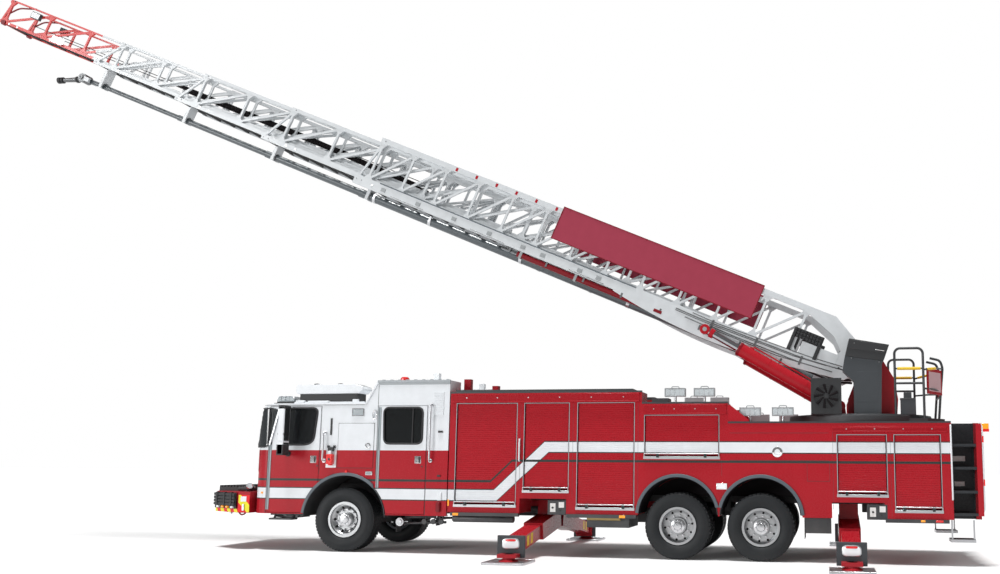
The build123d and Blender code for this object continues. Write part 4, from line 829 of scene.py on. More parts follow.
# ---------------------------------------------------------------- wheels
@dataclass
class Wheel:
    """A tyre with its tread, and the nuts and hub on its rim."""

    name: str
    body: str
    node: str
    x: float
    y: float
    side: int
    radius: float = 0.538
    width: float = 0.385
    seat: float = 0.286
    twin_pitch: float = 0.0
    ribs: int = 5
    blocks: int = 60
    groove: float = 0.014
    hub_out: float = 0.100
    dish: float = 0.060

    def tyre(self, form: Form, y: float) -> None:
        """One carcass with its blocks.

        Args:
            form: where the mesh goes.
            y: the tyre's middle plane in the row frame.
        """
        half, seat = self.width / 2, self.seat
        base = self.radius - self.groove
        wall = [(-half * a, r) for a, r in (
            (0.72, seat), (0.72, seat + 0.018), (0.90, seat + 0.045), (0.985, seat + 0.09), (1.0, seat + 0.125),
            (0.985, seat + 0.16), (0.965, seat + 0.168), (0.955, seat + 0.19), (0.90, base - 0.014), (0.82, base))]
        form.lathe(wall + [(-a, r) for a, r in reversed(wall)], (self.x, y, self.radius), Axis.Y, 96)
        pitch = 1.64 * half / self.ribs
        turn = TURN / self.blocks
        for rib in range(self.ribs):
            last = self.ribs - 1
            low = -0.82 * half + rib * pitch + (0.0 if rib == 0 else 0.005)
            high = -0.82 * half + (rib + 1) * pitch - (0.0 if rib == last else 0.005)
            share = 0.72 if rib in (0, last) else 0.86
            skew = 0.12 * turn * (1 if rib % 2 else -1)
            for block in range(self.blocks):
                start = turn * (block + 0.25 * (rib % 2))
                self.block(form, (y + low, y + high), (start, start + turn * share), skew)

    def block(self, form: Form, span: Pair, angles: Pair, skew: float) -> None:
        """One tread block.

        Args:
            form: where the mesh goes.
            span: its two faces along y.
            angles: where it starts and stops round the tyre.
            skew: by how much its far face runs ahead.
        """
        (low, high), (start, stop) = span, angles
        corners = (low, start - skew), (high, start + skew), (high, stop + skew), (low, stop - skew)
        form.hull([[(self.x + r * math.cos(t), y, self.radius + r * math.sin(t)) for y, t in corners]
                   for r in (self.radius - self.groove - 0.002, self.radius - 0.0005)])

    def build(self) -> None:
        """Make the tyre, nuts and hub."""
        x, y, z = self.x, self.y, self.radius
        tyre = Form()
        for shift in mirrored(self.twin_pitch / 2) if self.twin_pitch else (0.0,):
            self.tyre(tyre, self.side * y + shift)
        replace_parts(tyre.piece(f"{self.name}_tyre", "tyre_rubber", self.body), self.node)
        plate, hole_shade, hub = forms(3, self.side)
        if self.twin_pitch:
            plate.lathe([(0.128, 0.266), (0.150, 0.262), (0.160, 0.240), (0.158, 0.196), (0.160, 0.140),
                         (0.185, 0.118), (0.185, 0.100), (0.128, 0.100)], (x, y, z), Axis.Y, 60)
            plate.piece(f"{self.name}_face", "rim_metal", self.body)
        dish, face = y + self.dish, y + self.hub_out
        # Painted shade: near-black discs behind the hand holes stand for the dark seen through them.
        hole_shade.studs((x, dish - 0.004, z), 0.2220, 10, 0.0185, 0.007, 20)
        hole_shade.piece(f"{self.name}_holes", "night_black", self.body)
        hub.studs((x, dish, z), 0.1675, 10, 0.017, 0.034)
        hub.studs((x, dish + 0.034, z), 0.1675, 10, 0.010, 0.012, 10)
        hub.knob([(0.0, 0.0), (0.0, 0.112), (0.022, 0.112), (0.030, 0.100), (0.030, 0.070), (0.052, 0.058),
                  (0.058, 0.0)], (x, face, z), Axis.Y, 40)
        hub.studs((x, face + 0.026, z), 0.088, 8, 0.009, 0.014)
        hub.piece(f"{self.name}_hub", "polished_metal", self.body, 0.0015)


def build_wheels() -> None:
    """Dress the two front wheels and the four twin pairs."""
    for side, tag in SIDE_NAME.items():
        Wheel(f"front_{tag}", f"front_wheel_{tag}", f"front_tyre_{tag}", -0.890, 1.0575, side).build()
        for number, axle in ((1, 4.849), (2, 6.170)):
            Wheel(f"rear_{number}_{tag}", f"rear_wheels_{number}_{tag}", f"twin_tyres_{number}_{tag}", axle, 0.9405,
                  side, radius=0.527, width=0.279, twin_pitch=0.340, ribs=4, blocks=48, groove=0.017,
                  hub_out=0.2305, dish=0.160).build()


# ---------------------------------------------------------------- cab
@dataclass
class CabTrim:
    """Everything small on the cab: window rubbers, handles, rails, panels, vents and lamps."""

    front_window: tuple[Pair, ...] = ((-2.150, 1.916), (-2.100, 1.800), (-1.632, 1.800), (-1.510, 1.865),
                                      (-1.450, 2.435), (-2.020, 2.435))
    rear_window: tuple[Pair, ...] = ((-0.210, 1.820), (0.480, 1.820), (0.480, 2.435), (-0.230, 2.435))
    roof_z: float = 2.500
    high_roof_z: float = 2.895
    skin: float = HALF_WIDTH
    corner: Pair = (-2.360, 0.950)
    corner_radius: float = 0.300
    mirror_y: float = HALF_WIDTH + 0.240
    rows: int = 24

    def bands(self, form: Form, *rows: Row) -> None:
        """Flat blocks on the side skin.

        Args:
            form: where they go.
            rows: x0, x1, z0, z1 and how far each stands out.
        """
        for x0, x1, z0, z1, depth in rows:
            form.box(x0, x1, self.skin - 0.004, self.skin + depth, z0, z1)

    @staticmethod
    def rounded(outline: tuple[Pair, ...], bend: float) -> list[list[Pair]]:
        """The curve at each corner of an outline.

        Args:
            outline: corners in order.
            bend: how far before a corner its curve starts.

        Returns:
            One list of points for each corner.
        """
        curves = []
        for k, here in enumerate(outline):
            corner = Vector(here)
            ways = [Vector(outline[k - 1]) - corner, Vector(outline[(k + 1) % len(outline)]) - corner]
            start, stop = (corner + way.normalized() * min(bend, way.length * 0.42) for way in ways)
            curves.append([tuple((1 - t) ** 2 * start + 2 * t * (1 - t) * corner + t ** 2 * stop)
                           for t in (j / 6 for j in range(7))])
        return curves

    def doors(self, side: int, tag: str) -> None:
        """Rounded window surrounds and skin corners, handles and locks of one side's doors.

        Args:
            side: -1 left, 1 right.
            tag: the side's name.
        """
        skin = self.skin
        for name, outline, x in (("front", self.front_window, -1.514), ("rear", self.rear_window, 0.403)):
            body = f"cab_door_{name}_{tag}"
            rubber, corners, handle, lock = forms(4, side)
            curves = self.rounded(outline, 0.105)
            ring = [(a, skin + 0.002, b) for curve in curves for a, b in curve]
            rubber.pipe(ring + [ring[0]], 0.016, 8)
            for corner, curve in zip(outline, curves):
                corners.prism([corner] + curve, Axis.Y, skin - 0.012, skin + 0.0008)
            if name == "rear":
                rubber.pipe([(0.300, skin - 0.006, z) for z in (1.82, 2.435)], 0.012, 8)
            rubber.piece(f"window_rubber_{name}_{tag}", "soft_rubber", body)
            corners.piece(f"window_corners_{name}_{tag}", "cab_paint", body)
            self.bands(handle, (x - 0.045, x + 0.070, 1.490, 1.615, 0.006), (x - 0.030, x + 0.030, 1.505, 1.600, 0.022))
            handle.piece(f"door_handle_{name}_{tag}", "chrome", body, 0.004)
            self.bands(lock, (x + 0.032, x + 0.060, 1.505, 1.600, 0.008))
            lock.pin(x + 0.09, 1.44, skin - 0.002, skin + 0.006, 0.014)
            lock.piece(f"door_lock_{name}_{tag}", "black_plastic", body, 0.002)

    def mirror(self, side: int, tag: str) -> None:
        """The front door's mirror head: two panes, white backs and black arm and covers.

        Args:
            side: -1 left, 1 right.
            tag: the side's name.
        """
        glass, shell, arm = forms(3, side)
        y, body = self.mirror_y, f"cab_door_front_{tag}"
        glass.boxes(*((-1.8895, -1.886, y - 0.080, y + 0.080, *z) for z in ((1.86, 2.42), (1.65, 1.83))))
        glass.piece(f"mirror_glass_{tag}", "chrome", body)
        shell.boxes(*((-2.004, -1.8885, y - 0.094, y + 0.094, *z) for z in ((1.850, 2.456), (1.622, 1.838))))
        shell.piece(f"mirror_shell_{tag}", "plain_white", body, 0.018)
        arm.knob([(0.0, 0.0), (0.0, 0.058), (0.030, 0.050), (0.052, 0.020), (0.055, 0.0)], (-1.985, self.skin, 1.652),
                 Axis.Y, 24)
        arm.pipe([(-1.985, self.skin + 0.040, 1.655), (-1.965, y - 0.10, 1.640), (-1.950, y, 1.640)], 0.015, 10, 0.04)
        arm.boxes((-2.006, -1.884, y - 0.094, y + 0.094, 2.405, 2.462),
                  (-2.006, -1.884, y - 0.094, y + 0.094, 1.618, 1.800),
                  (-2.003, -1.887, y - 0.091, y + 0.091, 1.965, 1.985))
        arm.piece(f"mirror_arm_{tag}", "black_plastic", body, 0.004)

    def panels(self, side: int, tag: str) -> None:
        """What is made of flat blocks alone: hatch, vent, lenses, brackets, hand lamp, strap, plate and guard.

        Args:
            side: -1 left, 1 right.
            tag: the side's name.
        """
        slats = [(0.675, 0.850, z, z + 0.019, 0.012) for z in (2.315 + 0.030 * k for k in range(13))]
        for name, finish, bevel, slot, rows in (
                ("side_hatch", "cab_paint", 0.004, "", ((-1.049, -0.395, 1.412, 2.166, 0.006),)),
                ("scene_lamps", "lamp_glass", 0.003, "", ((-0.800, -0.607, 2.304, 2.411, 0.019),
                                                          (-0.508, -0.407, 1.300, 1.342, 0.021))),
                ("vent", "plain_white", 0.001, "", (*slats, (0.667, 0.858, 2.305, 2.705, 0.003))),
                ("bracket_plate", "plain_white", 0.002, "", ((-1.262, -1.072, 1.412, 1.745, 0.008),)),
                ("hand_lamp", "red_lens", 0.018, "red_paint", ((-1.222, -1.108, 1.470, 1.640, 0.085),
                                                               (-1.200, -1.130, 1.450, 1.475, 0.060))),
                ("lamp_strap", "plain_white", 0.006, "", ((-1.190, -1.140, 1.636, 1.700, 0.070),)),
                ("corner_plate", "plain_white", 0.008, "", ((0.790, 0.862, 0.880, 1.010, 0.020),)),
                ("corner_guard", "deep_red", 0.018, "", ((0.775, 0.850, 0.690, 0.860, 0.045),))):
            form = Form(side)
            self.bands(form, *rows)
            form.piece(f"{name}_{tag}", finish, bevel=bevel, slot=slot)

    def fittings(self, side: int, tag: str) -> None:
        """Rails, seams, bezels, markers, the lamp's clamp and the front pillar's trim of one side.

        Args:
            side: -1 left, 1 right.
            tag: the side's name.
        """
        rails, seams, bright, marks, clamp, pillar, turn = forms(7, side)
        skin = self.skin
        for x, low, high in ((-1.300, 1.530, 2.010), (0.640, 1.540, 2.480)):
            rails.rail(x, low, high, skin, skin + 0.062, 0.016, 0.03)
            for z in (low, high):
                rails.pin(x, z, skin - 0.002, skin + 0.007, 0.034, 20)
        rails.piece(f"grab_rails_{tag}", "satin_metal", bevel=0.001)
        self.bands(seams, *((x - 0.004, x + 0.004, 1.30 if -1.5 < x < 0 else 0.64, 2.47, 0.0012)
                            for x in (-2.360, -1.384, -0.340, 0.568)))
        self.bands(seams, (-0.344, -0.337, 2.470, 2.862, 0.0015), (-1.205, -1.175, 1.968, 2.255, 0.012),
                   (-2.470, -0.590, self.roof_z - 0.016, self.roof_z - 0.011, 0.010),
                   (-1.056, -1.049, 1.405, 2.173, 0.001), (-0.395, -0.388, 1.405, 2.173, 0.001),
                   (-1.056, -0.388, 2.166, 2.173, 0.001), (-1.056, -0.388, 1.405, 1.412, 0.001),
                   (0.770, 0.845, 2.008, 2.040, 0.022), (0.775, 0.830, 1.272, 1.300, 0.018))
        seams.piece(f"cab_seams_{tag}", "black_plastic")
        self.bands(bright, (-0.815, -0.592, 2.290, 2.425, 0.014), (-0.520, -0.395, 1.290, 1.352, 0.016))
        bright.lathe([(0.0, 0.030), (0.0, 0.052), (0.010, 0.052), (0.016, 0.030)], (-0.497, skin + 0.006, 1.784),
                     Axis.Y, 32)
        bright.hoop((-0.387, skin + 0.022, 2.315), 0.036, 0.075, 0.009, 20, 8)
        bright.piece(f"cab_bezels_{tag}", "chrome", bevel=0.003)
        marks.pin(-0.874, 1.345, skin + 0.004, skin + 0.024, 0.024, 20)
        marks.piece(f"side_marker_{tag}", "red_lens", bevel=0.003)
        self.bands(clamp, (-1.215, -1.115, 1.690, 1.760, 0.050), (-1.240, -1.205, 1.745, 1.790, 0.030),
                   (-1.130, -1.095, 1.745, 1.790, 0.030))
        clamp.pin(-1.165, 1.555, skin + 0.080, skin + 0.092, 0.020)
        clamp.piece(f"lamp_clamp_{tag}", "black_plastic", bevel=0.005)
        pillar.prism([(-2.350, 1.795), (-2.318, 1.795), (-2.152, 2.468), (-2.186, 2.468)], Axis.Y, skin + 0.001,
                     skin + 0.024)
        pillar.piece(f"pillar_trim_{tag}", "satin_metal", f"cab_door_front_{tag}", 0.004)
        back, ring = ([point for point in self.corner_line(0.975, -2.360, depth) if -2.475 < point.x < -2.405]
                      for depth in (-0.004, 0.010))
        count = min(len(ring), len(back))
        turn.hull([[point + Vector((0.0, 0.0, lift)) for point in ring[:count] + back[:count][::-1]]
                   for lift in (-0.016, 0.016)])
        turn.piece(f"corner_marker_{tag}", "amber_lens")

    def roof(self) -> None:
        """Gutters, roof edges, light bars, air horns and beacons."""
        white, grey, bars, feet, horn, beacon = forms(6)
        inner, roof, high = self.skin - 0.02, self.roof_z, self.high_roof_z
        for _ in both(white, grey, bars, feet, horn, beacon):
            out = self.skin + 0.014
            white.box(-2.36, -0.575, inner, self.skin + 0.012, roof - 0.010, roof + 0.016)
            white.hull([[(-0.578, y, roof + 0.012), (-0.560, y, roof - 0.012), (-0.345, y, high - 0.030),
                         (-0.365, y, high + 0.008)] for y in (inner, out)])
            grey.box(-0.365, 0.955, inner, out, high - 0.030, high + 0.010)
            grey.boxes(*((x, x + 0.05, inner, out, high + 0.008, high + 0.020)
                         for x in (-0.28 + 0.145 * k for k in range(9))))
            grey.box(-0.350, 0.953, inner, self.skin + 0.008, high - 0.070, high - 0.028)
            bars.hull([[(-2.336, y, 2.560), (-2.336, y, 2.600), (-2.300, y, 2.655), (-2.050, y, 2.655),
                        (-2.004, y, 2.600), (-2.004, y, 2.560)] for y in (0.764, 1.106)])
            feet.boxes((-2.335, -2.005, 0.764, 1.106, 2.502, 2.561), (-2.455, -2.375, 0.80, 1.00, 2.503, 2.545),
                       *((x - 0.004, x + 0.004, 0.762, 1.108, 2.575, 2.657) for x in (-2.25, -2.17, -2.09)))
            feet.rod((-2.385, 0.96, 2.530), (-2.340, 0.98, 2.560), 0.010, 8)
            horn.lathe([(0.0, 0.016), (-0.28, 0.020), (-0.36, 0.034), (-0.40, 0.062), (-0.405, 0.062),
                        (-0.36, 0.028), (-0.28, 0.012)], (-1.93, 0.66, 2.575), Axis.X, 24)
            for x, top in ((-2.0, 2.575), (-2.22, 2.560)):
                horn.rod((x, 0.66, 2.50), (x, 0.66, top), 0.012, 10)
            beacon.knob([(0.0, 0.0), (0.0, 0.075), (0.045, 0.075), (0.070, 0.050), (0.075, 0.0)],
                        (0.037, 1.05, high + 0.008), Axis.Z, 28)
        white.piece("roof_gutters", "plain_white", bevel=0.005)
        grey.piece("high_roof_edges", "edge_grey", bevel=0.004)
        bars.piece("light_bars", "lamp_glass", bevel=0.012)
        feet.piece("light_bar_feet", "black_plastic", bevel=0.003)
        horn.piece("air_horns", "chrome")
        beacon.piece("roof_beacons", "red_lens")

    def roof_box(self) -> None:
        """The long box's tapered lid and dark base, which stand for roof_gear, and the small boxes beside it."""
        lid, base, extras = forms(3)
        lid.prism([(-1.955, 2.855), (-0.860, 2.862), (-0.715, 2.815), (-0.700, 2.760), (-0.775, 2.695),
                   (-1.945, 2.690), (-1.980, 2.730), (-1.980, 2.830)], Axis.Y, -1.110, -0.770)
        lid.piece("roof_box_lid", "plain_white", bevel=0.014)
        base.box(-1.900, -0.810, -1.098, -0.782, 2.5003, 2.700)
        for x in (-1.62, -1.17):
            base.knob([(0.0, 0.0), (0.0, 0.055), (0.014, 0.045), (0.024, 0.0)], (x, -1.04, 2.856), Axis.Z, 24)
        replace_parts(base.piece("roof_box_base", "black_plastic", bevel=0.004), "roof_gear")
        extras.boxes((-1.930, -1.760, -1.190, -1.125, 2.516, 2.575), (-1.700, -1.300, -1.195, -1.125, 2.516, 2.566),
                     (-1.960, -0.640, -1.180, -1.120, 2.502, 2.548), (-0.870, -0.760, -1.170, -1.120, 2.516, 2.590))
        extras.piece("roof_small_boxes", "plain_white", bevel=0.010)

    def face(self) -> None:
        """Wipers and the headlamps in their bezels."""
        wipers, bezel, lens = forms(3)
        for _ in both(wipers, bezel, lens):
            wipers.pipe([(-2.690, 0.62, 1.740), (-2.665, 0.45, 1.95), (-2.640, 0.20, 2.150)], 0.009, 8)
            wipers.pipe([(-2.672, 0.32, 1.86), (-2.628, 0.10, 2.36)], 0.008, 8)
            wipers.rod((-2.700, 0.62, 1.735), (-2.655, 0.62, 1.735), 0.022)
            for low, high in ((1.020, 1.180), (1.220, 1.330)):
                bezel.rim((-2.694, -2.660, 0.612, 0.908, low - 0.008, high + 0.008), Axis.X, 0.014)
                for k in range(3):
                    lens.knob([(0.0, 0.0), (0.0, 0.040), (-0.010, 0.034), (-0.014, 0.0)],
                              (-2.690, 0.665 + 0.095 * k, (low + high) / 2), Axis.X, 24)
        wipers.piece("wipers", "black_plastic")
        bezel.piece("headlamp_bezels", "chrome", bevel=0.003)
        lens.piece("headlamp_lenses", "lamp_lens")

    @staticmethod
    def nose_rib(form: Form, start: float, length: float, low: float, high: float, depth: float) -> None:
        """A raised block on the bumper's slanted flank.

        Args:
            form: where it goes.
            start: where it begins, as a share of the flank's length.
            length: its own length, as such a share.
            low: its lower height.
            high: its upper height.
            depth: how far it stands out.
        """
        foot, run = Vector((-3.618, 0.825, 0.0)), Vector((0.693, 0.421, 0.0))
        out = Vector((-0.519, 0.855, 0.0)) * depth
        a, b = foot + run * start, foot + run * (start + length)
        form.hull([[point + Vector((0.0, 0.0, z)) for point in (a, b, b + out, a + out)] for z in (low, high)])

    def bumper(self) -> None:
        """Tread, tray with its hoses and coupling, flank blocks, lamps, end plates, hooks and slanting bands."""
        tread, gear = forms(2)
        tread.box(-3.595, -2.70, -0.79, 0.79, 0.990, 1.000)
        tread.piece("bumper_tread", "tread_plate", bevel=0.002)
        gear.boxes(*((-3.618, -3.602, y - 0.06, y + 0.06, 0.740, 0.800) for y in (-0.60 + 0.40 * k for k in range(4))))
        gear.piece("bumper_lamps", "lamp_lens", bevel=0.004)
        made = forms(9)
        tray, spots, amber, plate, latch, coupling, hooks, hose, bands = made
        tray.box(-3.560, -3.050, -0.80, 0.80, 0.985, 1.060)
        tray.boxes(*((x, x + 0.036, -0.81, 0.81, 1.055, 1.085) for x in (-3.55 + 0.062 * k for k in range(8))))
        bands.box(-3.605, -3.601, -0.80, 0.80, 0.628, 0.700)
        for _ in both(*made):
            tray.hull([[(-3.605, 0.815, z), (-2.935, 1.222, z), (-2.925, 1.246, z), (-3.618, 0.825, z)]
                       for z in (0.690, 0.965)])
            for low in (0.745, 0.800, 0.855, 0.910):
                self.nose_rib(tray, 0.02, 0.96, low, low + 0.046, 0.034)
            for share in (0.16, 0.50, 0.82):
                self.nose_rib(tray, share, 0.055, 0.740, 0.975, 0.044)
            for form, share in ((spots, 0.16), (amber, 0.38), (amber, 0.60), (spots, 0.82)):
                self.nose_rib(form, share, 0.09, 0.700, 0.735, 0.036)
            plate.box(-2.845, -2.735, 1.232, 1.238, 0.815, 0.905)
            latch.boxes((-2.805, -2.765, 1.232, 1.252, 0.660, 0.775), (-3.34, -3.26, 0.81, 0.87, 0.585, 0.628))
            coupling.rod((-2.86, 1.02, 1.030), (-2.78, 1.10, 1.075), 0.045, 20)
            coupling.rod((-2.78, 1.10, 1.075), (-2.755, 1.125, 1.090), 0.054, 20)
            coupling.pipe([(-3.00, 0.90, 1.06), (-2.86, 0.94, 1.11), (-2.74, 0.98, 1.06)], 0.012, 8, 0.05)
            hooks.pipe([(-2.96, 1.10, 0.640), (-2.90, 1.11, 0.580), (-2.82, 1.12, 0.600), (-2.80, 1.12, 0.640)],
                       0.014, 10, 0.03)
            for y in (0.86, 0.96, 1.06):
                hose.pipe([(-3.00, y, 1.030), (-2.78, y + 0.02, 1.030)], 0.036, 12)
            bands.box(-2.885, -2.675, 1.228, 1.234, 0.632, 0.930)
            bands.hull([[(-3.602, 0.803, z), (-2.892, 1.229, z), (-2.888, 1.236, z), (-3.607, 0.808, z)]
                        for z in (0.628, 0.690)])
        for form, name, finish, bevel in (
                (tray, "hose_tray", "black_plastic", 0.003), (spots, "nose_lamps", "lamp_lens", 0.006),
                (amber, "nose_markers", "amber_lens", 0.006), (plate, "bumper_end_plates", "plain_white", 0.003),
                (latch, "bumper_latches", "satin_metal", 0.004), (coupling, "hose_coupling", "chrome", 0.002),
                (hooks, "bumper_hooks", "deep_red", 0.0), (hose, "tray_hoses", "soft_rubber", 0.0),
                (bands, "bumper_chevrons", "chevron_paint", 0.0)):
            form.piece(name, finish, bevel=bevel)

    def corner_line(self, z: float, rear_x: float, out: float) -> list[Vector]:
        """The plan line of the cab's corner at one height, from the side's flat round to the raked front.

        Args:
            z: the height.
            rear_x: where the line starts on the side.
            out: distance outside the shell.

        Returns:
            Points from rear to front.
        """
        rake = -2.640 + 0.150 * (z - 1.720) / 0.720 - out
        radius = self.corner_radius + out
        points = [Vector((rear_x, self.skin + out, z))]
        for t in (math.radians(90.0 * k / 24) for k in range(25)):
            x = self.corner[0] - radius * math.sin(t)
            if rake <= x <= rear_x:
                points.append(Vector((x, self.corner[1] + radius * math.cos(t), z)))
        return points + [Vector((rake, 1.108, z))]

    @staticmethod
    def even(points: list[Vector], inset: float, count: int) -> list[Vector]:
        """Points at even steps along a line.

        Args:
            points: the line.
            inset: by how much its far end is shortened.
            count: how many points to return.

        Returns:
            The points.
        """
        lengths = [0.0]
        for a, b in zip(points, points[1:]):
            lengths.append(lengths[-1] + (b - a).length)
        made = []
        for k in range(count):
            want = (lengths[-1] - inset) * k / (count - 1)
            index = max(i for i, length in enumerate(lengths[:-1]) if length <= want + 1e-9)
            span = lengths[index + 1] - lengths[index]
            made.append(points[index].lerp(points[index + 1], (want - lengths[index]) / span if span else 0.0))
        return made

    def corner_glass(self, side: int, tag: str) -> None:
        """A dark pane that wraps round a front corner, in black rubber, and the painted cover below it.

        Args:
            side: -1 left, 1 right.
            tag: the side's name.
        """
        glass, rim, cover, wing = forms(4, side)
        rings, outers, pane = [], [], []
        for row in range(self.rows + 1):
            share = row / self.rows
            z = 1.760 + 0.670 * share
            near = min(share, 1.0 - share) * self.rows / 2.2
            inset = 0.060 * (1.0 - math.sqrt(max(0.0, 1.0 - max(0.0, 1.0 - near) ** 2)))
            slant = -2.362 + 0.165 * share - inset
            if slant > -2.348:
                pane.append((slant, z))
            outer, inner = (self.even(self.corner_line(z, min(slant, -2.360), depth), inset, 18)
                            for depth in (0.019, -0.004))
            rings.append(outer + inner[::-1])
            outers.append(outer)
        glass.hull(rings, smooth=True)
        rear, front = [outer[0] for outer in outers], [outer[-1] for outer in outers]
        rim.pipe(rear + outers[-1][1:] + front[::-1][1:] + outers[0][::-1][1:], 0.011, 8)
        glass.piece(f"corner_glass_{tag}", "gloss_black")
        rim.piece(f"corner_rubber_{tag}", "soft_rubber")
        angles = [math.radians(40.0 + 3.0 * k) for k in range(10)]
        cover.hull([[(self.corner[0] - radius * math.sin(t), self.corner[1] + radius * math.cos(t), z)
                     for radius, turn in ((0.3045, angles), (0.298, angles[::-1])) for t in turn]
                    for z in (1.335, 1.738)])
        cover.piece(f"corner_cover_{tag}", "cab_paint", bevel=0.001)
        wing.prism([(-2.349, pane[0][1])] + pane + [(-2.349, pane[-1][1])], Axis.Y, self.skin + 0.0002,
                   self.skin + 0.006)
        wing.piece(f"corner_pane_{tag}", "gloss_black", f"cab_door_front_{tag}")

    def seats(self) -> None:
        """Seat covers seen through the glass."""
        form = Form()
        for x, y in ((-1.70, -0.76), (-1.70, 0.76), (0.33, -0.82), (0.33, 0.82), (0.33, 0.0)):
            form.box(x - 0.225, x + 0.120, y - 0.225, y + 0.225, 1.679, 1.715)
            form.hull([[(x + a, yy, z) for a, z in ((0.110, 1.70), (0.140, 1.70), (0.228, 2.34), (0.198, 2.34))]
                       for yy in (y - 0.205, y + 0.205)])
        form.piece("seat_covers", "seat_cloth", bevel=0.012)

    def build(self) -> None:
        """Dress the whole cab."""
        for side, tag in SIDE_NAME.items():
            self.doors(side, tag)
            self.mirror(side, tag)
            self.panels(side, tag)
            self.fittings(side, tag)
            self.corner_glass(side, tag)
        self.roof()
        self.roof_box()
        self.face()
        self.bumper()
        self.seats()


# ---------------------------------------------------------------- body
@dataclass
class BodyTrim:
    """Roll-up doors, headers, seams, rails, lamps and steps of the body."""

    shutters: tuple[Row, ...] = (
        (1.090, 2.145, 0.785, 2.492), (2.280, 3.040, 1.030, 2.492), (3.190, 4.135, 0.765, 2.492),
        (4.310, 5.515, 1.590, 2.285), (7.372, 8.117, 1.018, 1.970), (8.237, 8.923, 0.790, 1.970))
    headers: tuple[Row, ...] = (
        (0.990, 4.225, 2.515, 2.665), (4.290, 5.640, 2.310, 2.470), (7.300, 9.020, 2.020, 2.110))
    seams: tuple[Row, ...] = (
        (5.690, 7.240, 1.570, 1.575), (5.690, 7.240, 2.000, 2.005), (6.900, 7.250, 1.250, 1.255),
        (6.900, 6.904, 1.250, 1.570), (7.246, 7.250, 1.250, 1.570), (5.560, 5.564, 1.320, 1.575),
        (4.200, 4.203, 0.80, 2.49), (3.110, 3.113, 0.95, 2.49), (2.210, 2.213, 0.95, 2.49),
        (7.300, 7.303, 0.72, 2.02), (8.176, 8.179, 0.72, 2.02))
    slat: float = 0.034
    inset: float = 0.018
    skin: float = HALF_WIDTH
    axles: Pair = (4.849, 6.170)
    axle_z: float = 0.667

    def on_skin(self, form: Form, row: Row, inner: float, outer: float) -> None:
        """A block on the side skin.

        Args:
            form: where it goes.
            row: x0, x1, z0 and z1.
            inner: its inner face, from the skin outwards.
            outer: its outer face, from the skin outwards.
        """
        x0, x1, z0, z1 = row
        form.box(x0, x1, self.skin + inner, self.skin + outer, z0, z1)

    def roll_doors(self) -> None:
        """Slats, side tracks and lift bars."""
        made = forms(4)
        slats, tracks, bars, pads = made
        skin = self.skin
        for _ in both(*made):
            for x0, x1, z0, z1 in self.shutters:
                self.curtain(slats, (x0 + 0.012, x1 - 0.012), z0 + 0.064, z1 - 0.002)
                tracks.rim((x0 - 0.010, x1 + 0.010, skin - self.inset, skin + 0.004, z0 - 0.004, z1 + 0.010),
                           Axis.Y, 0.010)
                self.on_skin(bars, (x0 - 0.018, x1 + 0.018, z0 - 0.006, z0 + 0.040), -0.022, 0.016)
                bars.pipe([(x0 - 0.004, skin, z0 + 0.030), (x0 - 0.004, skin + 0.030, z0 + 0.082),
                           (x1 + 0.004, skin + 0.030, z0 + 0.082), (x1 + 0.004, skin, z0 + 0.030)], 0.009, 10, 0.02)
                for x in (x0 + (x1 - x0) * share for share in (0.18, 0.82)):
                    self.on_skin(pads, (x - 0.020, x + 0.020, z0 + 0.018, z0 + 0.094), -0.004, 0.036)
        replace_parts(slats.piece("roll_door_slats", "body_paint"), "roll_shutters")
        tracks.piece("roll_door_tracks", "edge_grey", slot="shutter_metal")
        bars.piece("roll_door_bars", "satin_metal", bevel=0.003, slot="shutter_metal")
        pads.piece("roll_door_latches", "black_plastic", bevel=0.002)

    def curtain(self, form: Form, span: Pair, low: float, high: float) -> None:
        """One curtain of slats: a folded section drawn in side view and run along the door.

        Args:
            form: where it goes.
            span: its ends along x.
            low: its lower edge.
            high: its upper edge.
        """
        outer = self.skin - self.inset
        count = int((high - low) / self.slat)
        step = (high - low) / count
        outline = []
        for z in (low + step * k for k in range(count)):
            outline += [(outer - 0.004, z + 0.0005), (outer, z + 0.005), (outer, z + step - 0.004),
                        (outer - 0.004, z + step - 0.0005)]
        outline += [(outer - 0.020, high), (outer - 0.020, low)]
        form.hull([[(x, y, z) for y, z in outline] for x in span])

    def headers_and_edges(self) -> None:
        """Header panels, dark top edges and panel seams."""
        made = forms(3)
        red, dark, heads = made
        for _ in both(*made):
            red.prism([(5.660, 2.150), (5.660, 2.455), (5.700, 2.450), (5.985, 2.220), (6.030, 2.150)], Axis.Y,
                      self.skin - 0.030, self.skin - 0.002)
            for x0, x1, z0, z1 in self.headers:
                self.on_skin(red, (x0, x1, z0, z1), -0.003, 0.010)
                self.on_skin(red, (x0, x1, z0 - 0.004, z0 + 0.016), 0.0, 0.040)
                self.on_skin(red, (x0, x1, z1 - 0.030, z1 - 0.016), 0.0, 0.024)
                count = max(4, round((x1 - x0) / 0.55))
                for x in (x0 + (x1 - x0) * (k + 0.5) / count for k in range(count)):
                    heads.pin(x, (z0 + z1) / 2, self.skin + 0.009, self.skin + 0.015, 0.010, 12)
            for x0, x1, z in ((0.970, 4.262, 2.672), (4.262, 5.662, 2.482), (5.662, 9.090, 2.163)):
                self.on_skin(dark, (x0, x1, z - 0.006, z + 0.022), -0.035, 0.008)
            for row in self.seams:
                self.on_skin(dark, row, -0.001, 0.0012)
        red.piece("header_panels", "plain_red", bevel=0.004)
        heads.piece("header_screws", "satin_metal")
        dark.piece("edge_trim", "dark_paint")

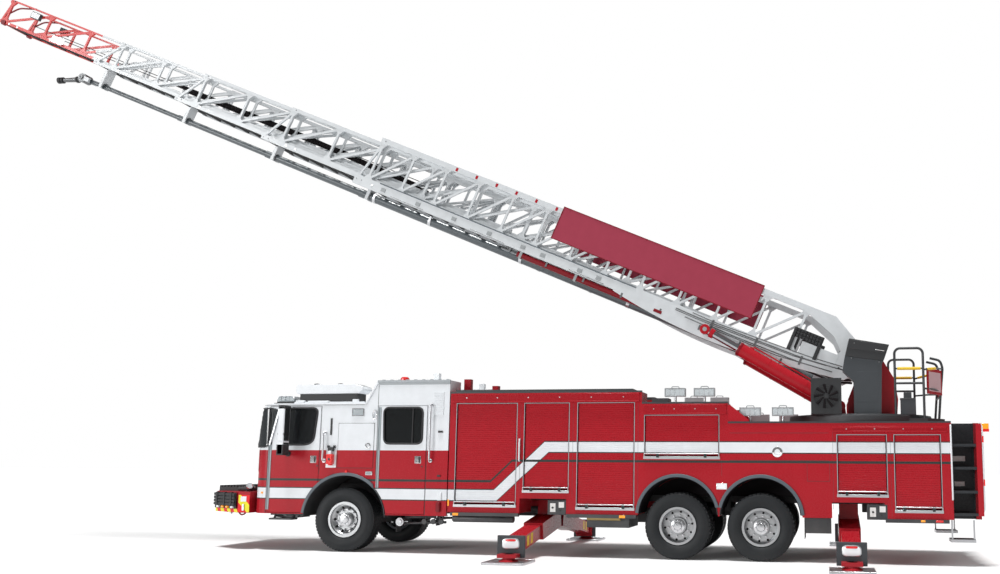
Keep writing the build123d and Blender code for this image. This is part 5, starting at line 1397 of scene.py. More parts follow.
    def rails_and_lamps(self) -> None:
        """Grab rails, markers, reflectors and the round filler cap."""
        made = forms(5)
        white, amber, red, clear, chrome = made
        skin, inner = self.skin, self.skin - 0.02
        for _ in both(*made):
            for x, low, high in ((2.205, 1.545, 1.900), (9.078, 0.995, 2.120)):
                white.rail(x, low, high, skin, skin + 0.030, 0.014, 0.02)
            white.pipe([(9.515, inner, 0.80), (9.545, inner, 0.86), (9.545, inner, 2.10), (9.515, inner, 2.16)],
                       0.014, 12, 0.02)
            amber.boxes((1.075, 1.175, 1.273, 1.283, 0.640, 0.682), (3.905, 4.005, 1.273, 1.283, 0.640, 0.682),
                        (0.972, 1.000, 1.2505, 1.262, 0.795, 0.895), (8.600, 8.665, 1.273, 1.283, 0.650, 0.682))
            red.box(8.820, 8.930, 1.273, 1.283, 0.650, 0.682)
            self.on_skin(clear, (5.490, 5.630, 1.130, 1.190), 0.0, 0.022)
            self.on_skin(chrome, (5.475, 5.645, 1.112, 1.208), 0.0, 0.012)
            chrome.lathe([(0.0, 0.045), (0.0, 0.085), (0.016, 0.080), (0.020, 0.045)], (6.442, skin, 1.702), Axis.Y, 36)
            clear.knob([(0.004, 0.0), (0.004, 0.046), (0.012, 0.044), (0.014, 0.0)], (6.442, skin, 1.702), Axis.Y, 36)
        white.piece("body_grab_rails", "plain_white")
        amber.piece("amber_markers", "amber_lens", bevel=0.003)
        red.piece("red_markers", "red_lens", bevel=0.003)
        clear.piece("side_lenses", "lamp_lens", bevel=0.003)
        chrome.piece("side_bezels", "chrome", bevel=0.002)

    @staticmethod
    def arch(form: Form, centre: Pair, radii: Pair, depth: Pair, angles: Pair, notch: Pair | None = None) -> None:
        """A curved strip over a wheel.

        Args:
            form: where it goes.
            centre: x and z of the arc's middle.
            radii: inner and outer radius.
            depth: its two faces along y.
            angles: where it starts and stops, in degrees.
            notch: outer radius and outer face below 46 degrees, if those differ.
        """
        rings = []
        for t in (math.radians(angles[0] + (angles[1] - angles[0]) * k / 48) for k in range(49)):
            far, reach = notch if notch and math.degrees(t) < 46.0 else (radii[1], depth[1])
            rings.append([(centre[0] + r * math.cos(t), y, centre[1] + r * math.sin(t))
                          for r, y in ((radii[0], depth[0]), (far, depth[0]), (far, reach), (radii[0], reach))])
        form.hull(rings)

    def arches(self) -> None:
        """Raised lips round the wheel openings and dark liners inside the rear ones."""
        lips, liners = forms(2)
        for _ in both(lips, liners):
            self.arch(lips, (-0.890, 0.538), (0.741, 0.792), (self.skin + 0.0005, 1.276), (7.6, 172.4),
                      (0.7545, 1.2625))
            for x, angles in zip(self.axles, ((14.0, 175.0), (5.0, 166.0))):
                self.arch(lips, (x, self.axle_z), (0.632, 0.684), (self.skin + 0.0005, 1.276), angles)
                self.arch(liners, (x, self.axle_z), (0.618, 0.626), (0.62, 1.245), angles)
                liners.prism([(x + 0.615 * math.cos(t), self.axle_z + 0.615 * math.sin(t))
                              for t in (math.radians(32 + 116 * k / 24) for k in range(25))], Axis.Y, 0.600, 0.608)
        lips.piece("arch_lips", "arch_grey", bevel=0.006)
        liners.piece("arch_liners", "night_black")

    def floods(self) -> None:
        """Flood lamp heads: lens, fins behind and carrying bail."""
        lens, frame = forms(2)
        y, front = 1.100, 1.145
        for x, deck in ((4.790, 2.482), (5.270, 2.482), (6.010, 2.163), (6.530, 2.163)):
            z = deck + 0.130
            for _ in both(lens, frame):
                lens.boxes(*((left, left + 0.072, front, front + 0.005, z + 0.002, z + 0.102)
                             for left in (x - 0.155 + 0.079 * k for k in range(4))))
                frame.rim((x - 0.172, x + 0.172, front - 0.02, front + 0.008, z - 0.017, z + 0.122), Axis.Y, 0.012)
                frame.pipe([(x - 0.06, y, z + 0.118), (x - 0.06, y, z + 0.150), (x + 0.06, y, z + 0.150),
                            (x + 0.06, y, z + 0.118)], 0.007, 8, 0.02)
                frame.knob([(0.0, 0.0), (0.0, 0.060), (0.014, 0.055), (0.030, 0.026), (0.030, 0.0)], (x, y, deck),
                           Axis.Z, 24)
        lens.piece("flood_lenses", "flood_glass", bevel=0.002)
        frame.piece("flood_frames", "bracket_grey", bevel=0.002)

    def tail(self) -> None:
        """Steps, tail lamps, the slanting bands and the rear lockers' doors."""
        made = forms(6)
        tread, band, lamp, metal, amber, blank = made
        band.box(9.5302, 9.5340, -0.84, 0.84, 0.72, 2.12)
        metal.rim((9.528, 9.542, -0.46, 0.46, 1.16, 2.05), Axis.X, 0.03)
        metal.pin(9.545, 1.24, -0.40, 0.40, 0.010, 10)
        for _ in both(*made):
            tread.boxes(*((9.094, 9.444, 0.875, 1.225, z, z + 0.004) for z in (0.788, 1.127, 1.486, 1.834)),
                        (9.044, 9.396, 0.905, 1.235, 0.400, 0.405))
            lamp.boxes(*((9.555, 9.562, 0.89, 1.09, z, z + 0.105) for z in (1.020, 1.150, 1.280)),
                       *((9.536, 9.560, 1.236, 1.256, z, z + 0.095) for z in (1.205, 1.860)),
                       (9.522, 9.648, 1.083, 1.238, 2.022, 2.066))
            amber.box(9.526, 9.644, 1.083, 1.238, 2.064, 2.148)
            blank.boxes((9.140, 9.330, 0.858, 0.866, 1.575, 1.655), (9.160, 9.310, 0.858, 0.866, 1.190, 1.262))
        tread.piece("step_treads", "dark_plate")
        band.piece("tail_bands", "chevron_paint")
        lamp.piece("tail_lenses", "red_lens", bevel=0.003)
        metal.piece("tail_door_frame", "satin_metal", bevel=0.002, slot="shutter_metal")
        amber.piece("tail_beacons", "amber_lens", bevel=0.006)
        blank.piece("recess_plates", "reflector", bevel=0.002)

    def build(self) -> None:
        """Dress the whole body."""
        self.roll_doors()
        self.headers_and_edges()
        self.rails_and_lamps()
        self.arches()
        self.floods()
        self.tail()


# ---------------------------------------------------------------- underside
@dataclass
class Underside:
    """Tanks, struts, flaps and small gear below the body."""

    axles: Pair = (4.849, 6.170)
    tank_length: float = 1.065

    def build(self) -> None:
        """Make what hangs below the body."""
        made = forms(5)
        tanks, dark, flaps, ochre, canister = made
        end = self.tank_length
        for _ in both(*made):
            tanks.knob([(0.0, 0.0), (0.0, 0.050), (0.015, 0.060), (end - 0.015, 0.060), (end, 0.050), (end, 0.0)],
                       (1.030, 1.130, 0.585), Axis.X, 24)
            ochre.knob([(0.0, 0.0), (0.0, 0.045), (0.550, 0.045), (0.550, 0.0)], (3.365, 1.215, 0.640), Axis.X, 20)
            flaps.boxes((6.846, 6.854, 0.66, 1.21, 0.36, 0.80), (-0.070, -0.058, 0.76, 0.95, 0.330, 0.480))
            dark.boxes((1.13, 1.17, 1.08, 1.16, 0.60, 0.692), (1.93, 1.97, 1.08, 1.16, 0.60, 0.692),
                       (-2.300, -1.870, 1.02, 1.22, 0.515, 0.545), (-2.330, -1.640, 0.60, 1.12, 0.590, 0.628),
                       (-2.050, -1.820, 0.70, 1.10, 0.548, 0.600))
            for x in (-2.255, -1.915):
                dark.rod((x, 1.12, 0.530), (x + 0.035, 1.10, 0.645), 0.020, 8)
            dark.pipe([(-2.28, 1.05, 0.575), (-1.95, 1.06, 0.555), (-1.68, 1.04, 0.600)], 0.020, 10, 0.05)
            dark.rod((0.02, 0.84, 0.470), (0.80, 0.86, 0.500), 0.022, 12)
            dark.rod((0.05, 0.84, 0.580), (0.62, 0.88, 0.595), 0.028, 12)
            for x in (0.50, 0.66, 0.80):
                dark.pin(x, 0.520, 1.06, 1.10, 0.045, 20)
                dark.rod((x, 1.00, 0.560), (x, 1.00, 0.640), 0.020, 10)
            canister.pin(0.005, 0.500, 0.80, 0.98, 0.072, 32)
            canister.pin(0.005, 0.500, 0.98, 0.995, 0.046, 24)
            for axle in self.axles:
                dark.knob([(0.0, 0.0), (0.0, 0.085), (0.12, 0.090), (0.16, 0.06), (0.16, 0.0)],
                          (axle - 0.30, 0.50, 0.62), Axis.X, 24)
                dark.rod((axle - 0.16, 0.50, 0.60), (axle, 0.50, 0.56), 0.02, 10)
        tanks.piece("air_tanks", "dark_paint")
        dark.piece("under_gear", "dark_paint", bevel=0.003)
        flaps.piece("mud_flaps", "soft_rubber", bevel=0.002)
        canister.piece("air_dryers", "polished_metal", bevel=0.003)
        ochre.piece("side_struts", "ochre_paint")


# ---------------------------------------------------------------- outriggers
@dataclass
class Outrigger:
    """One sliding leg: pad skin, foot, end plate, lamp, warning patches and gussets."""

    name: str
    x: float
    side: int
    plate_y: float = 2.260
    plate_z: float = 0.240
    foot_y: float = 2.380
    slope: float = math.radians(8.1)

    def beam(self, y: float) -> float:
        """The beam's middle height at a distance from the centre line."""
        return self.plate_z + (self.plate_y - y) * math.tan(self.slope)

    def slice(self, form: Form, x: float, half: float, outline: Iterable[Pair]) -> None:
        """An outline of (y, z) points run along x.

        Args:
            form: where it goes.
            x: its middle, from the leg's own.
            half: half its thickness.
            outline: the points.
        """
        points = list(outline)
        form.hull([[(self.x + x + o, y, z) for y, z in points] for o in (-half, half)])

    def oval(self, form: Form, half_x: float, half_z: float, span: Pair, up: float = 0.0) -> None:
        """A rounded lamp shape standing on the end plate.

        Args:
            form: where it goes.
            half_x: half its length.
            half_z: half its height.
            span: its two faces along y.
            up: its height above the plate's middle.
        """
        rings = []
        for y, grow in ((span[0], 1.0), (sum(span) / 2, 1.0), (span[1], 0.86)):
            ring = []
            for c, s in ((math.cos(t), math.sin(t)) for t in turned(32)):
                ring.append((self.x + half_x * grow * math.copysign(abs(c) ** 0.55, c), y,
                             0.285 + up + half_z * grow * math.copysign(abs(s) ** 0.55, s)))
            rings.append(ring)
        form.hull(rings)

    def build(self) -> None:
        """Make the leg's pieces."""
        pad, foot, plate, bezel, lens, bar, patch, steel = forms(8, self.side)
        x, body = self.x, self.name
        pad.box(x - 0.322, x + 0.322, 2.058, 2.702, 0.0, 0.030)
        pad.rim((x - 0.322, x + 0.322, 2.058, 2.702, 0.029, 0.036), Axis.Z, 0.012)
        foot.knob([(0.029, 0.0), (0.029, 0.150), (0.040, 0.150), (0.062, 0.090), (0.140, 0.086), (0.140, 0.0)],
                  (x, self.foot_y, 0.0), Axis.Z, 32)
        for t in turned(8):
            out, flat = Vector((math.cos(t), math.sin(t), 0.0)), Vector((-math.sin(t), math.cos(t), 0.0)) * 0.006
            foot.hull([[Vector((x, self.foot_y, z)) + out * far + o
                        for far, z in ((0.080, 0.030), (0.145, 0.030), (0.080, 0.085))] for o in (flat, -flat)])
        plate.box(x - 0.218, x + 0.218, 2.236, 2.288, 0.072, 0.408)
        for off in mirrored(0.17):
            for z in (0.11, 0.37):
                plate.pin(x + off, z, 2.287, 2.297, 0.013, 6)
        self.oval(bezel, 0.138, 0.082, (2.288, 2.302))
        self.oval(lens, 0.124, 0.068, (2.298, 2.310))
        self.oval(bar, 0.085, 0.018, (2.305, 2.314), 0.052)
        for y in (1.600, 1.790):
            self.slice(patch, 0.0, 0.1353, ((at, self.beam(at) + off) for at, off in (
                (y, -0.075), (y + 0.115, -0.075), (y + 0.115, 0.085), (y, 0.085))))
        low, high = self.beam(2.11) - 0.09, self.beam(2.11) + 0.095
        for off in mirrored(0.150):
            self.slice(steel, off, 0.008, ((2.110, low), (2.236, 0.090), (2.236, 0.385), (2.110, high)))
        for off in mirrored(0.07):
            self.slice(steel, off, 0.007, ((2.110, 0.345), (2.238, 0.345), (2.238, 0.395)))
        for form, name, finish, bevel, slot in (
                (pad, "pad_skin", "tread_plate", 0.003, "outrigger_metal"), (foot, "foot", "plain_red", 0.002, ""),
                (plate, "plate_skin", "grey_paint", 0.006, "dark_steel"),
                (bezel, "lamp_bezel", "satin_metal", 0.002, ""), (lens, "lamp_lens", "lamp_lens", 0.0, ""),
                (bar, "lamp_bar", "red_lens", 0.0, ""),
                (patch, "reflectors", "grip_yellow", 0.0, "outrigger_metal"),
                (steel, "gussets", "plain_red", 0.002, "")):
            form.piece(f"{body}_{name}", finish, body, bevel, slot)


def build_outriggers() -> None:
    """Dress the four legs and the sleeves' mouths."""
    made = forms(3)
    cases, faces, knobs = made
    for name, x in (("front", 2.440), ("rear", 7.540)):
        for side, tag in SIDE_NAME.items():
            Outrigger(f"leg_{name}_{tag}", x, side).build()
        for _ in both(*made):
            cases.box(x + 0.262, x + 0.574, 1.18, 1.252, 0.674, 0.908)
            faces.boxes((x + 0.307, x + 0.397, 1.252, 1.255, 0.720, 0.860),
                        (x + 0.452, x + 0.542, 1.252, 1.255, 0.790, 0.880))
            knobs.pin(x + 0.352, 0.79, 1.253, 1.275, 0.016)
            knobs.pin(x + 0.477, 0.75, 1.253, 1.268, 0.010, 12)
    cases.piece("control_boxes", "dark_paint", bevel=0.008)
    faces.piece("control_faces", "reflector")
    knobs.piece("control_knobs", "black_plastic", bevel=0.002)


# ---------------------------------------------------------------- turntable
@dataclass
class Turntable:
    """Control stand, fan box, hoops, gate and pins on the turning deck."""

    centre: float = 7.760
    deck_top: float = 2.305
    rail_y: float = 0.860
    fan_x: float = 7.215
    fan_z: float = 2.590
    fan_face: float = -1.120
    pin_rows: tuple[Row, ...] = ((HEEL_X, HEEL_Z, 0.095, 0.750), (7.430, 2.450, 0.085, 0.838))

    def deck(self) -> None:
        """Tread plates and the deck's bright rim."""
        rim, tread = forms(2)
        top = self.deck_top
        rim.lathe([(-0.112, 1.158), (-0.112, 1.166), (-0.020, 1.166), (0.004, 1.140), (0.004, 1.090), (-0.004, 1.090),
                   (-0.010, 1.158)], (self.centre, 0.0, top), Axis.Z, 120)
        rim.piece("deck_rim", "dark_plate", "turntable", slot="dark_steel")
        tread.prism([(8.15, -0.88), (8.78, -0.88), (9.05, -0.55), (9.05, 0.55), (8.78, 0.88), (8.15, 0.88)], Axis.Z,
                    top - 0.0595, top - 0.056)
        for _ in both(tread):
            tread.box(7.30, 8.10, 0.77, 0.90, top, top + 0.004)
        tread.piece("deck_treads", "dark_plate", "turntable")

    def stand(self) -> None:
        """The control stand's lid, handle, panel, levers and gauges."""
        lid, grip, panel, gauges, knobs, rear = forms(6)
        lid.prism([(8.214, 3.408), (7.598, 3.520), (7.585, 3.500), (7.520, 3.235), (8.108, 3.150), (8.130, 3.170)],
                  Axis.Y, -1.030, -0.748)
        lid.prism([(7.598, 3.505), (7.560, 3.360), (8.160, 3.262), (8.207, 3.395)], Axis.Y, -1.040, -0.738)
        grip.pipe([(8.00, -1.040, 3.330), (8.00, -1.066, 3.330), (8.13, -1.066, 3.305), (8.13, -1.040, 3.305)],
                  0.008, 10, 0.01)
        for x, z in ((7.67, 3.44), (7.62, 3.20), (8.05, 3.13)):
            grip.pin(x, z, -1.030, -1.044, 0.009, 12)
        panel.prism([(7.528, 3.150), (7.498, 3.010), (7.520, 3.005), (7.552, 3.146)], Axis.Y, -1.000, -0.775)
        panel.box(7.70, 8.03, -1.012, -1.009, 2.50, 2.98)
        for k in range(4):
            y, far = -0.978 + 0.031 * k, -0.965 + 0.055 * k
            gauges.rod((7.500, far, 3.075), (7.517, far, 3.070), 0.021, 20)
            knobs.rod((7.485, y, 3.018), (7.425, y, 3.045), 0.006, 8)
            knobs.rod((7.430, y, 3.043), (7.405, y, 3.054), 0.014, 12)
        rear.boxes((8.372, 8.608, -0.902, -0.758, 2.545, 2.567), (8.43, 8.55, -0.862, -0.79, 2.567, 2.660))
        for form, name, finish, bevel in (
                (lid, "stand_lid", "black_plastic", 0.006), (grip, "stand_handle", "chrome", 0.0),
                (panel, "stand_panels", "grey_paint", 0.003), (gauges, "stand_gauges", "reflector", 0.001),
                (knobs, "stand_levers", "black_plastic", 0.0), (rear, "rear_box_lid", "dark_paint", 0.005)):
            form.piece(name, finish, "turntable", bevel)

    def around(self, radius: float, t: float, off: float) -> Point:
        """A point round the fan's middle at an angle, off its face."""
        return (self.fan_x + radius * math.cos(t), self.fan_face + off, self.fan_z + radius * math.sin(t))

    def fan(self) -> None:
        """Round guard, blades and the box's caps."""
        guard, dark, skin = forms(3)
        face = self.fan_face
        for radius in (0.045, 0.075, 0.105, 0.135, 0.165, 0.195):
            guard.hoop((self.fan_x, face - 0.012, self.fan_z), radius, radius, 0.0035, 40, 6)
        for t in turned(8):
            guard.rod(self.around(0.03, t, -0.012), self.around(0.205, t, -0.008), 0.004, 6)
        guard.pin(self.fan_x, self.fan_z, face - 0.002, face - 0.020, 0.035, 24)
        guard.rim((6.976, 7.454, face - 0.008, face + 0.004, 2.312, 2.874), Axis.Y, 0.026)
        guard.piece("fan_guard", "black_plastic", "turntable", 0.001)
        dark.pin(self.fan_x, self.fan_z, face - 0.003, face + 0.002, 0.215, 48)
        for t in turned(9):
            dark.rod(self.around(0.05, t, -0.005), self.around(0.19, t + 0.35, -0.005), 0.014, 6, 0.026)
        dark.piece("fan_core", "night_black", "turntable")
        skin.boxes((6.972, 7.458, -1.122, -0.866, 2.300, 2.312), (6.972, 7.458, -1.122, -0.866, 2.862, 2.878),
                   (6.985, 7.445, -1.1235, -1.1195, 2.325, 2.855))
        skin.piece("fan_box_caps", "black_plastic", "turntable", 0.004)

    def gate(self) -> None:
        """The gate hoop with its red panel, and the yellow grips on the rails."""
        made = forms(5)
        hoop, panel, rose, grips, bars = made
        for x, z in ((9.095, 3.05), (9.052, 2.62)):
            hoop.pin(x, z, -0.300, 0.300, 0.017, 12)
        panel.hull([[(9.066, y, 2.64), (9.104, y, 3.03), (9.112, y, 3.03), (9.074, y, 2.64)]
                    for y in mirrored(0.275)])
        start, run, out = (Vector(v) for v in ((8.800, -0.795, 0.0), (0.27, 0.47, 0.0), (0.867, -0.498, 0.0)))
        for form, low, high, z, depth in ((panel, 0.0, 1.0, (2.640, 3.050), 0.010),
                                          (rose, 0.09, 0.91, (2.685, 3.000), 0.014)):
            a, b, off = start + run * low, start + run * high, out * depth
            form.hull([[point + Vector((0.0, 0.0, lift)) for point in (a - off, b - off, b + off, a + off)]
                       for lift in z])
        for _ in both(*made):
            hoop.pipe([(9.02, 0.300, 2.245), (9.05, 0.300, 2.60), (9.10, 0.300, 3.10), (9.06, 0.300, 3.22),
                       (8.90, 0.300, 3.26)], 0.020, 12, 0.05)
            hoop.pipe([(8.740, self.rail_y, 3.02), (8.95, 0.62, 3.06), (9.09, 0.300, 3.08)], 0.015, 10, 0.05)
            hoop.pipe([(8.740, self.rail_y, 2.72), (8.93, 0.62, 2.72), (9.06, 0.300, 2.70)], 0.015, 10, 0.05)
            grips.rod((8.34, self.rail_y, 3.040), (8.70, self.rail_y, 3.040), 0.024, 14)
            grips.pipe([(8.80, 0.790, 3.032), (8.95, 0.62, 3.06)], 0.021, 14)
            bars.rod((8.300, self.rail_y, 3.040), (8.740, self.rail_y, 3.040), 0.014, 12)
        hoop.piece("gate_hoops", "dark_paint", "turntable")
        rose.piece("gate_faces", "rose_panel", "turntable", 0.002)
        panel.piece("gate_panel", "plain_red", "turntable", 0.002)
        grips.piece("rail_grips", "grip_yellow", "turntable")
        bars.piece("rail_bars", "dark_paint", "turntable")

    def pins(self) -> None:
        """Bolted caps on the ladder's pivot and the cylinders' lower pins."""
        caps = Form()
        for _ in both(caps):
            for x, z, r, y in self.pin_rows:
                caps.knob([(0.0, 0.0), (0.0, r), (0.014, r), (0.020, r * 0.8), (0.020, 0.0)], (x, y, z), Axis.Y, 32)
                caps.studs((x, y + 0.018, z), r * 0.68, 6, 0.010, 0.010)
        caps.piece("pin_caps", "plain_red", "turntable", 0.001)

    def build(self) -> None:
        """Dress the turntable."""
        self.deck()
        self.stand()
        self.fan()
        self.gate()
        self.pins()


# ---------------------------------------------------------------- lift cylinders
def tilted(x: float, z: float, angle: float) -> Matrix:
    """Map (run, y, up) of a line that climbs forwards from a foot into the truck's axes.

    Args:
        x: the foot's x.
        z: the foot's height.
        angle: the line's climb in radians.

    Returns:
        The matrix.
    """
    c, s = math.cos(angle), math.sin(angle)
    return Matrix(((-c, 0.0, s, x), (0.0, 1.0, 0.0, 0.0), (s, 0.0, c, z), (0.0, 0.0, 0.0, 1.0)))


@dataclass
class LiftCylinders:
    """Glands, ports and clamps of the two lift cylinders, drawn along their own line."""

    foot: Pair = (7.430, 2.450)
    eye: Pair = (5.2348, 3.7475)
    pitch: float = math.radians(30.585)
    y: float = 0.740

    def build(self) -> None:
        """Make the pieces."""
        base = tilted(*self.foot, self.pitch)
        made = [Form(base=base) for _ in range(5)]
        gland, tube, wiper, eye, pin = made
        y = self.y
        length = math.hypot(self.foot[0] - self.eye[0], self.eye[1] - self.foot[1])
        for _ in both(*made):
            gland.lathe([(1.858, 0.121), (1.878, 0.124), (1.900, 0.118), (1.906, 0.064)], (0.0, y, 0.0), Axis.X, 40)
            tube.pipe([(0.30, y, 0.118), (0.30, y, 0.145), (1.70, y, 0.145), (1.70, y, 0.118)], 0.012, 10, 0.03)
            tube.boxes((0.26, 0.34, y - 0.03, y + 0.03, 0.095, 0.125), (1.66, 1.74, y - 0.03, y + 0.03, 0.095, 0.125))
            for run in (0.62, 1.32):
                tube.lathe([(run, 0.1125), (run, 0.116), (run + 0.03, 0.116), (run + 0.03, 0.1125)], (0.0, y, 0.0),
                           Axis.X, 36)
            wiper.rod((1.895, y, 0.0), (1.915, y, 0.0), 0.080, 32)
            for out in SIDES:
                eye.knob([(out * 0.058, 0.0), (out * 0.058, 0.086), (out * 0.066, 0.083), (out * 0.066, 0.0)],
                         (length, y, 0.0), Axis.Y, 32)
                pin.knob([(out * 0.064, 0.0), (out * 0.064, 0.038), (out * 0.072, 0.034), (out * 0.072, 0.0)],
                         (length, y, 0.0), Axis.Y, 24)
            eye.lathe([(length - 0.17, 0.063), (length - 0.17, 0.078), (length - 0.10, 0.082), (length - 0.10, 0.063)],
                      (0.0, y, 0.0), Axis.X, 32)
        gland.piece("cylinder_glands", "deep_red", "cylinder_barrels", slot="dark_steel")
        tube.piece("cylinder_ports", "plain_red", "cylinder_barrels", 0.001)
        wiper.piece("cylinder_wipers", "rod_metal", "cylinder_barrels")
        eye.piece("cylinder_eyes", "plain_red", "cylinder_rods")
        pin.piece("cylinder_pins", "bracket_grey", "cylinder_rods")


# ---------------------------------------------------------------- ladder
@dataclass(frozen=True)
class Section:
    """Sizes of one ladder section, along u and up w."""

    number: int
    half: float
    chord: float
    bottom: float
    chord_h: float
    top: float
    rail_h: float
    rear: float
    tip: float
    foot: float
    bay: float
    rung_w: float


SECTIONS = (
    Section(1, 0.600, 0.060, -0.540, 0.180, 0.448, 0.100, 1.150, 9.640, 9.840, 0.700, -0.460),
    Section(2, 0.525, 0.050, -0.420, 0.100, 0.365, 0.070, 2.650, 11.680, 12.050, 1.050, -0.395),
    Section(3, 0.460, 0.046, -0.350, 0.075, 0.355, 0.060, 4.650, 13.820, 14.230, 1.050, -0.325),
    Section(4, 0.400, 0.042, -0.280, 0.065, 0.333, 0.050, 6.650, 15.950, 16.390, 1.050, -0.255),
    Section(5, 0.343, 0.038, -0.215, 0.055, 0.320, 0.034, 8.650, 18.950, 19.040, 1.050, -0.190),
)


@dataclass
class Ladder:
    """Gussets, rung covers, pulleys, pipe clamps and tip gear of the five sections, in (u, y, w)."""

    rung_pitch: float = 0.356
    side_y: float = 0.600
    chain_links: int = 78
    chain_pitch: float = 0.075
    head: Point = (16.780, 0.0, -PIPE_DROP)

    @staticmethod
    def forms(count: int) -> list[Form]:
        """Empty forms in ladder axes."""
        base = tilted(HEEL_X, HEEL_Z, LADDER_ANGLE)
        return [Form(base=base) for _ in range(count)]

    def section(self, s: Section) -> None:
        """Ribbed rung covers, gussets, guide pins and bolts of one section."""
        rungs, gussets, rollers, bolts = self.forms(4)
        reach = s.half - s.chord - 0.004
        for k in range(int((s.foot - s.rear - 0.2) / self.rung_pitch) + 1):
            u = s.foot - 0.1 - self.rung_pitch * k
            outline = [(u + r * math.cos(t), s.rung_w + r * math.sin(t))
                       for t, r in ((TURN * (j + 0.5) / 16, 0.0245 if j % 2 else 0.0215) for j in range(16))]
            rungs.prism(outline, Axis.Y, -reach, reach)
        low, high = s.bottom + s.chord_h, s.top - s.rail_h
        reach = min(0.085, (high - low) * 0.2)
        middle = s.half - s.chord / 2
        for _ in both(gussets, rollers, bolts):
            u = s.tip - 0.06
            while u >= s.rear:
                for w, up in ((low, 1), (high, -1)):
                    gussets.prism([(u - reach, w - up * 0.002), (u + reach, w - up * 0.002),
                                   (u + 0.022, w + up * reach), (u - 0.022, w + up * reach)],
                                  Axis.Y, middle - 0.019, middle + 0.019)
                u -= s.bay
            for u in (s.tip - 0.20, s.tip - 0.42):
                rollers.pin(u, s.bottom + s.chord_h * 0.5, middle - s.chord / 2, middle + s.chord / 2 + 0.006,
                            0.020, 20)
            for u in (s.foot - 0.16, s.foot - 0.05):
                bolts.pin(u, s.rung_w + 0.02, s.half + 0.006, s.half - 0.01, 0.009, 6)
            bolts.pin(s.tip - 0.09, s.top - s.rail_h / 2, s.half - s.chord - 0.003, s.half + 0.007, 0.012, 6)
        for form, name, finish in ((rungs, "rung_covers", "black_plastic"), (gussets, "gussets", "ladder_paint"),
                                   (rollers, "guide_pins", "satin_metal"), (bolts, "section_bolts", "gunmetal")):
            form.piece(f"{name}_{s.number}", finish, f"ladder_{s.number}")

    def base_gear(self) -> None:
        """Conduits, sign borders, marks, pads, pipes, rams, sheets, valve blocks and bosses of the base section."""
        made = self.forms(11)
        conduit, border, marks, plate, pads, strip, pipes, ram, shine, sheet, mesh = made
        out = self.side_y
        for _ in both(*made):
            for lift, r in ((-0.575, 0.012), (-0.606, 0.016)):
                conduit.pipe([(0.70, 0.575, lift - 0.09), (1.20, 0.575, lift), (6.62, 0.575, lift)], r, 8, 0.05)
            conduit.boxes(*((u, u + 0.035, 0.55, 0.602, -0.628, -0.538) for u in (1.25 + 0.74 * k for k in range(8))))
            border.rim((1.993, 5.827, 0.612, 0.620, -0.121, 0.490), Axis.Y, 0.012)
            for u in (2.40, 3.30, 4.20, 5.10, 5.70):
                border.pin(u, 0.470, 0.614, 0.622, 0.008, 8)
            marks.boxes(*((u, u + 0.045, out, out + 0.0025, 0.365, 0.430)
                          for u in (7.987, 7.569, 7.151, 6.742, 6.334, 5.923)))
            pads.boxes(*((u - 0.045, u + 0.045, out, out + 0.010, -0.495, -0.425)
                         for u in (9.19, 8.44, 7.67, 6.93, 6.24, 5.84, 5.10, 4.73)),
                       *((u, u + 0.05, 0.50, 0.598, -0.668, -0.535) for u in (3.50, 5.10, 6.20)))
            y = out + 0.004
            strip.pipe([(9.30, y, -0.365), (8.00, y, -0.366), (4.04, y, -0.366)], 0.010, 8)
            for near, far, top, low, r in ((0.30, 2.95, -0.285, -0.405, 0.008), (0.36, 3.25, -0.345, -0.440, 0.010),
                                           (0.55, 3.25, -0.372, -0.468, 0.007), (0.42, 2.60, -0.430, -0.500, 0.010),
                                           (0.80, 3.05, -0.470, -0.522, 0.008)):
                pipes.pipe([(near, y, top), (near + 0.55, y, top - 0.055), (far - 0.45, y, low), (far, y, low + 0.012)],
                           r, 8, 0.10)
            pipes.boxes(*((u, u + 0.035, out, out + 0.013, -0.530, -0.375) for u in (0.95, 1.75, 2.55)))
            for u in (4.6, 6.6, 8.3):
                pipes.pipe([(u, out + 0.006, -0.52), (u + 0.7, out + 0.006, -0.515)], 0.006, 6)
            for form, u0, u1, r, sides in ((ram, 3.55, 6.30, 0.052, 28), (ram, 3.45, 3.60, 0.062, 28),
                                           (shine, 6.28, 6.62, 0.028, 20)):
                form.rod((u0, 0.545, -0.600), (u1, 0.545, -0.600), r, sides)
            sheet.box(0.42, 1.06, 0.588, 0.603, -0.360, -0.135)
            mesh.boxes(*((u, u + 0.040, out, 0.655, w, w + 0.036)
                         for u in (0.76 + 0.056 * j for j in range(9)) for w in (-0.110, -0.058, -0.006)),
                       (0.74, 0.80, 0.560, 0.625, -0.360, 0.045), (1.20, 1.26, 0.560, 0.625, -0.360, 0.045),
                       (0.74, 1.26, 0.598, 0.615, -0.115, 0.045))
            plate.pin(0.0, 0.0, 0.540, 0.618, 0.115, 36)
            for t in turned(8):
                plate.pin(0.088 * math.cos(t), 0.088 * math.sin(t), 0.616, 0.628, 0.011, 6)
        for form, name, finish, bevel, slot in (
                (conduit, "base_conduits", "gunmetal", 0.001, ""), (border, "sign_borders", "deep_red", 0.001, ""),
                (pads, "chord_pads", "bracket_grey", 0.003, ""),
                (strip, "chord_strips", "arch_grey", 0.0, "grey_paint"),
                (pipes, "oil_pipes", "gunmetal", 0.0, ""), (ram, "reach_rams", "deep_red", 0.0, ""),
                (shine, "reach_rods", "rod_metal", 0.0, ""), (sheet, "heel_sheets", "ladder_paint", 0.003, ""),
                (mesh, "valve_blocks", "black_plastic", 0.004, ""), (marks, "reach_marks", "plain_red", 0.0, ""),
                (plate, "heel_bosses", "plain_red", 0.002, "")):
            form.piece(name, finish, "ladder_1", bevel, slot)

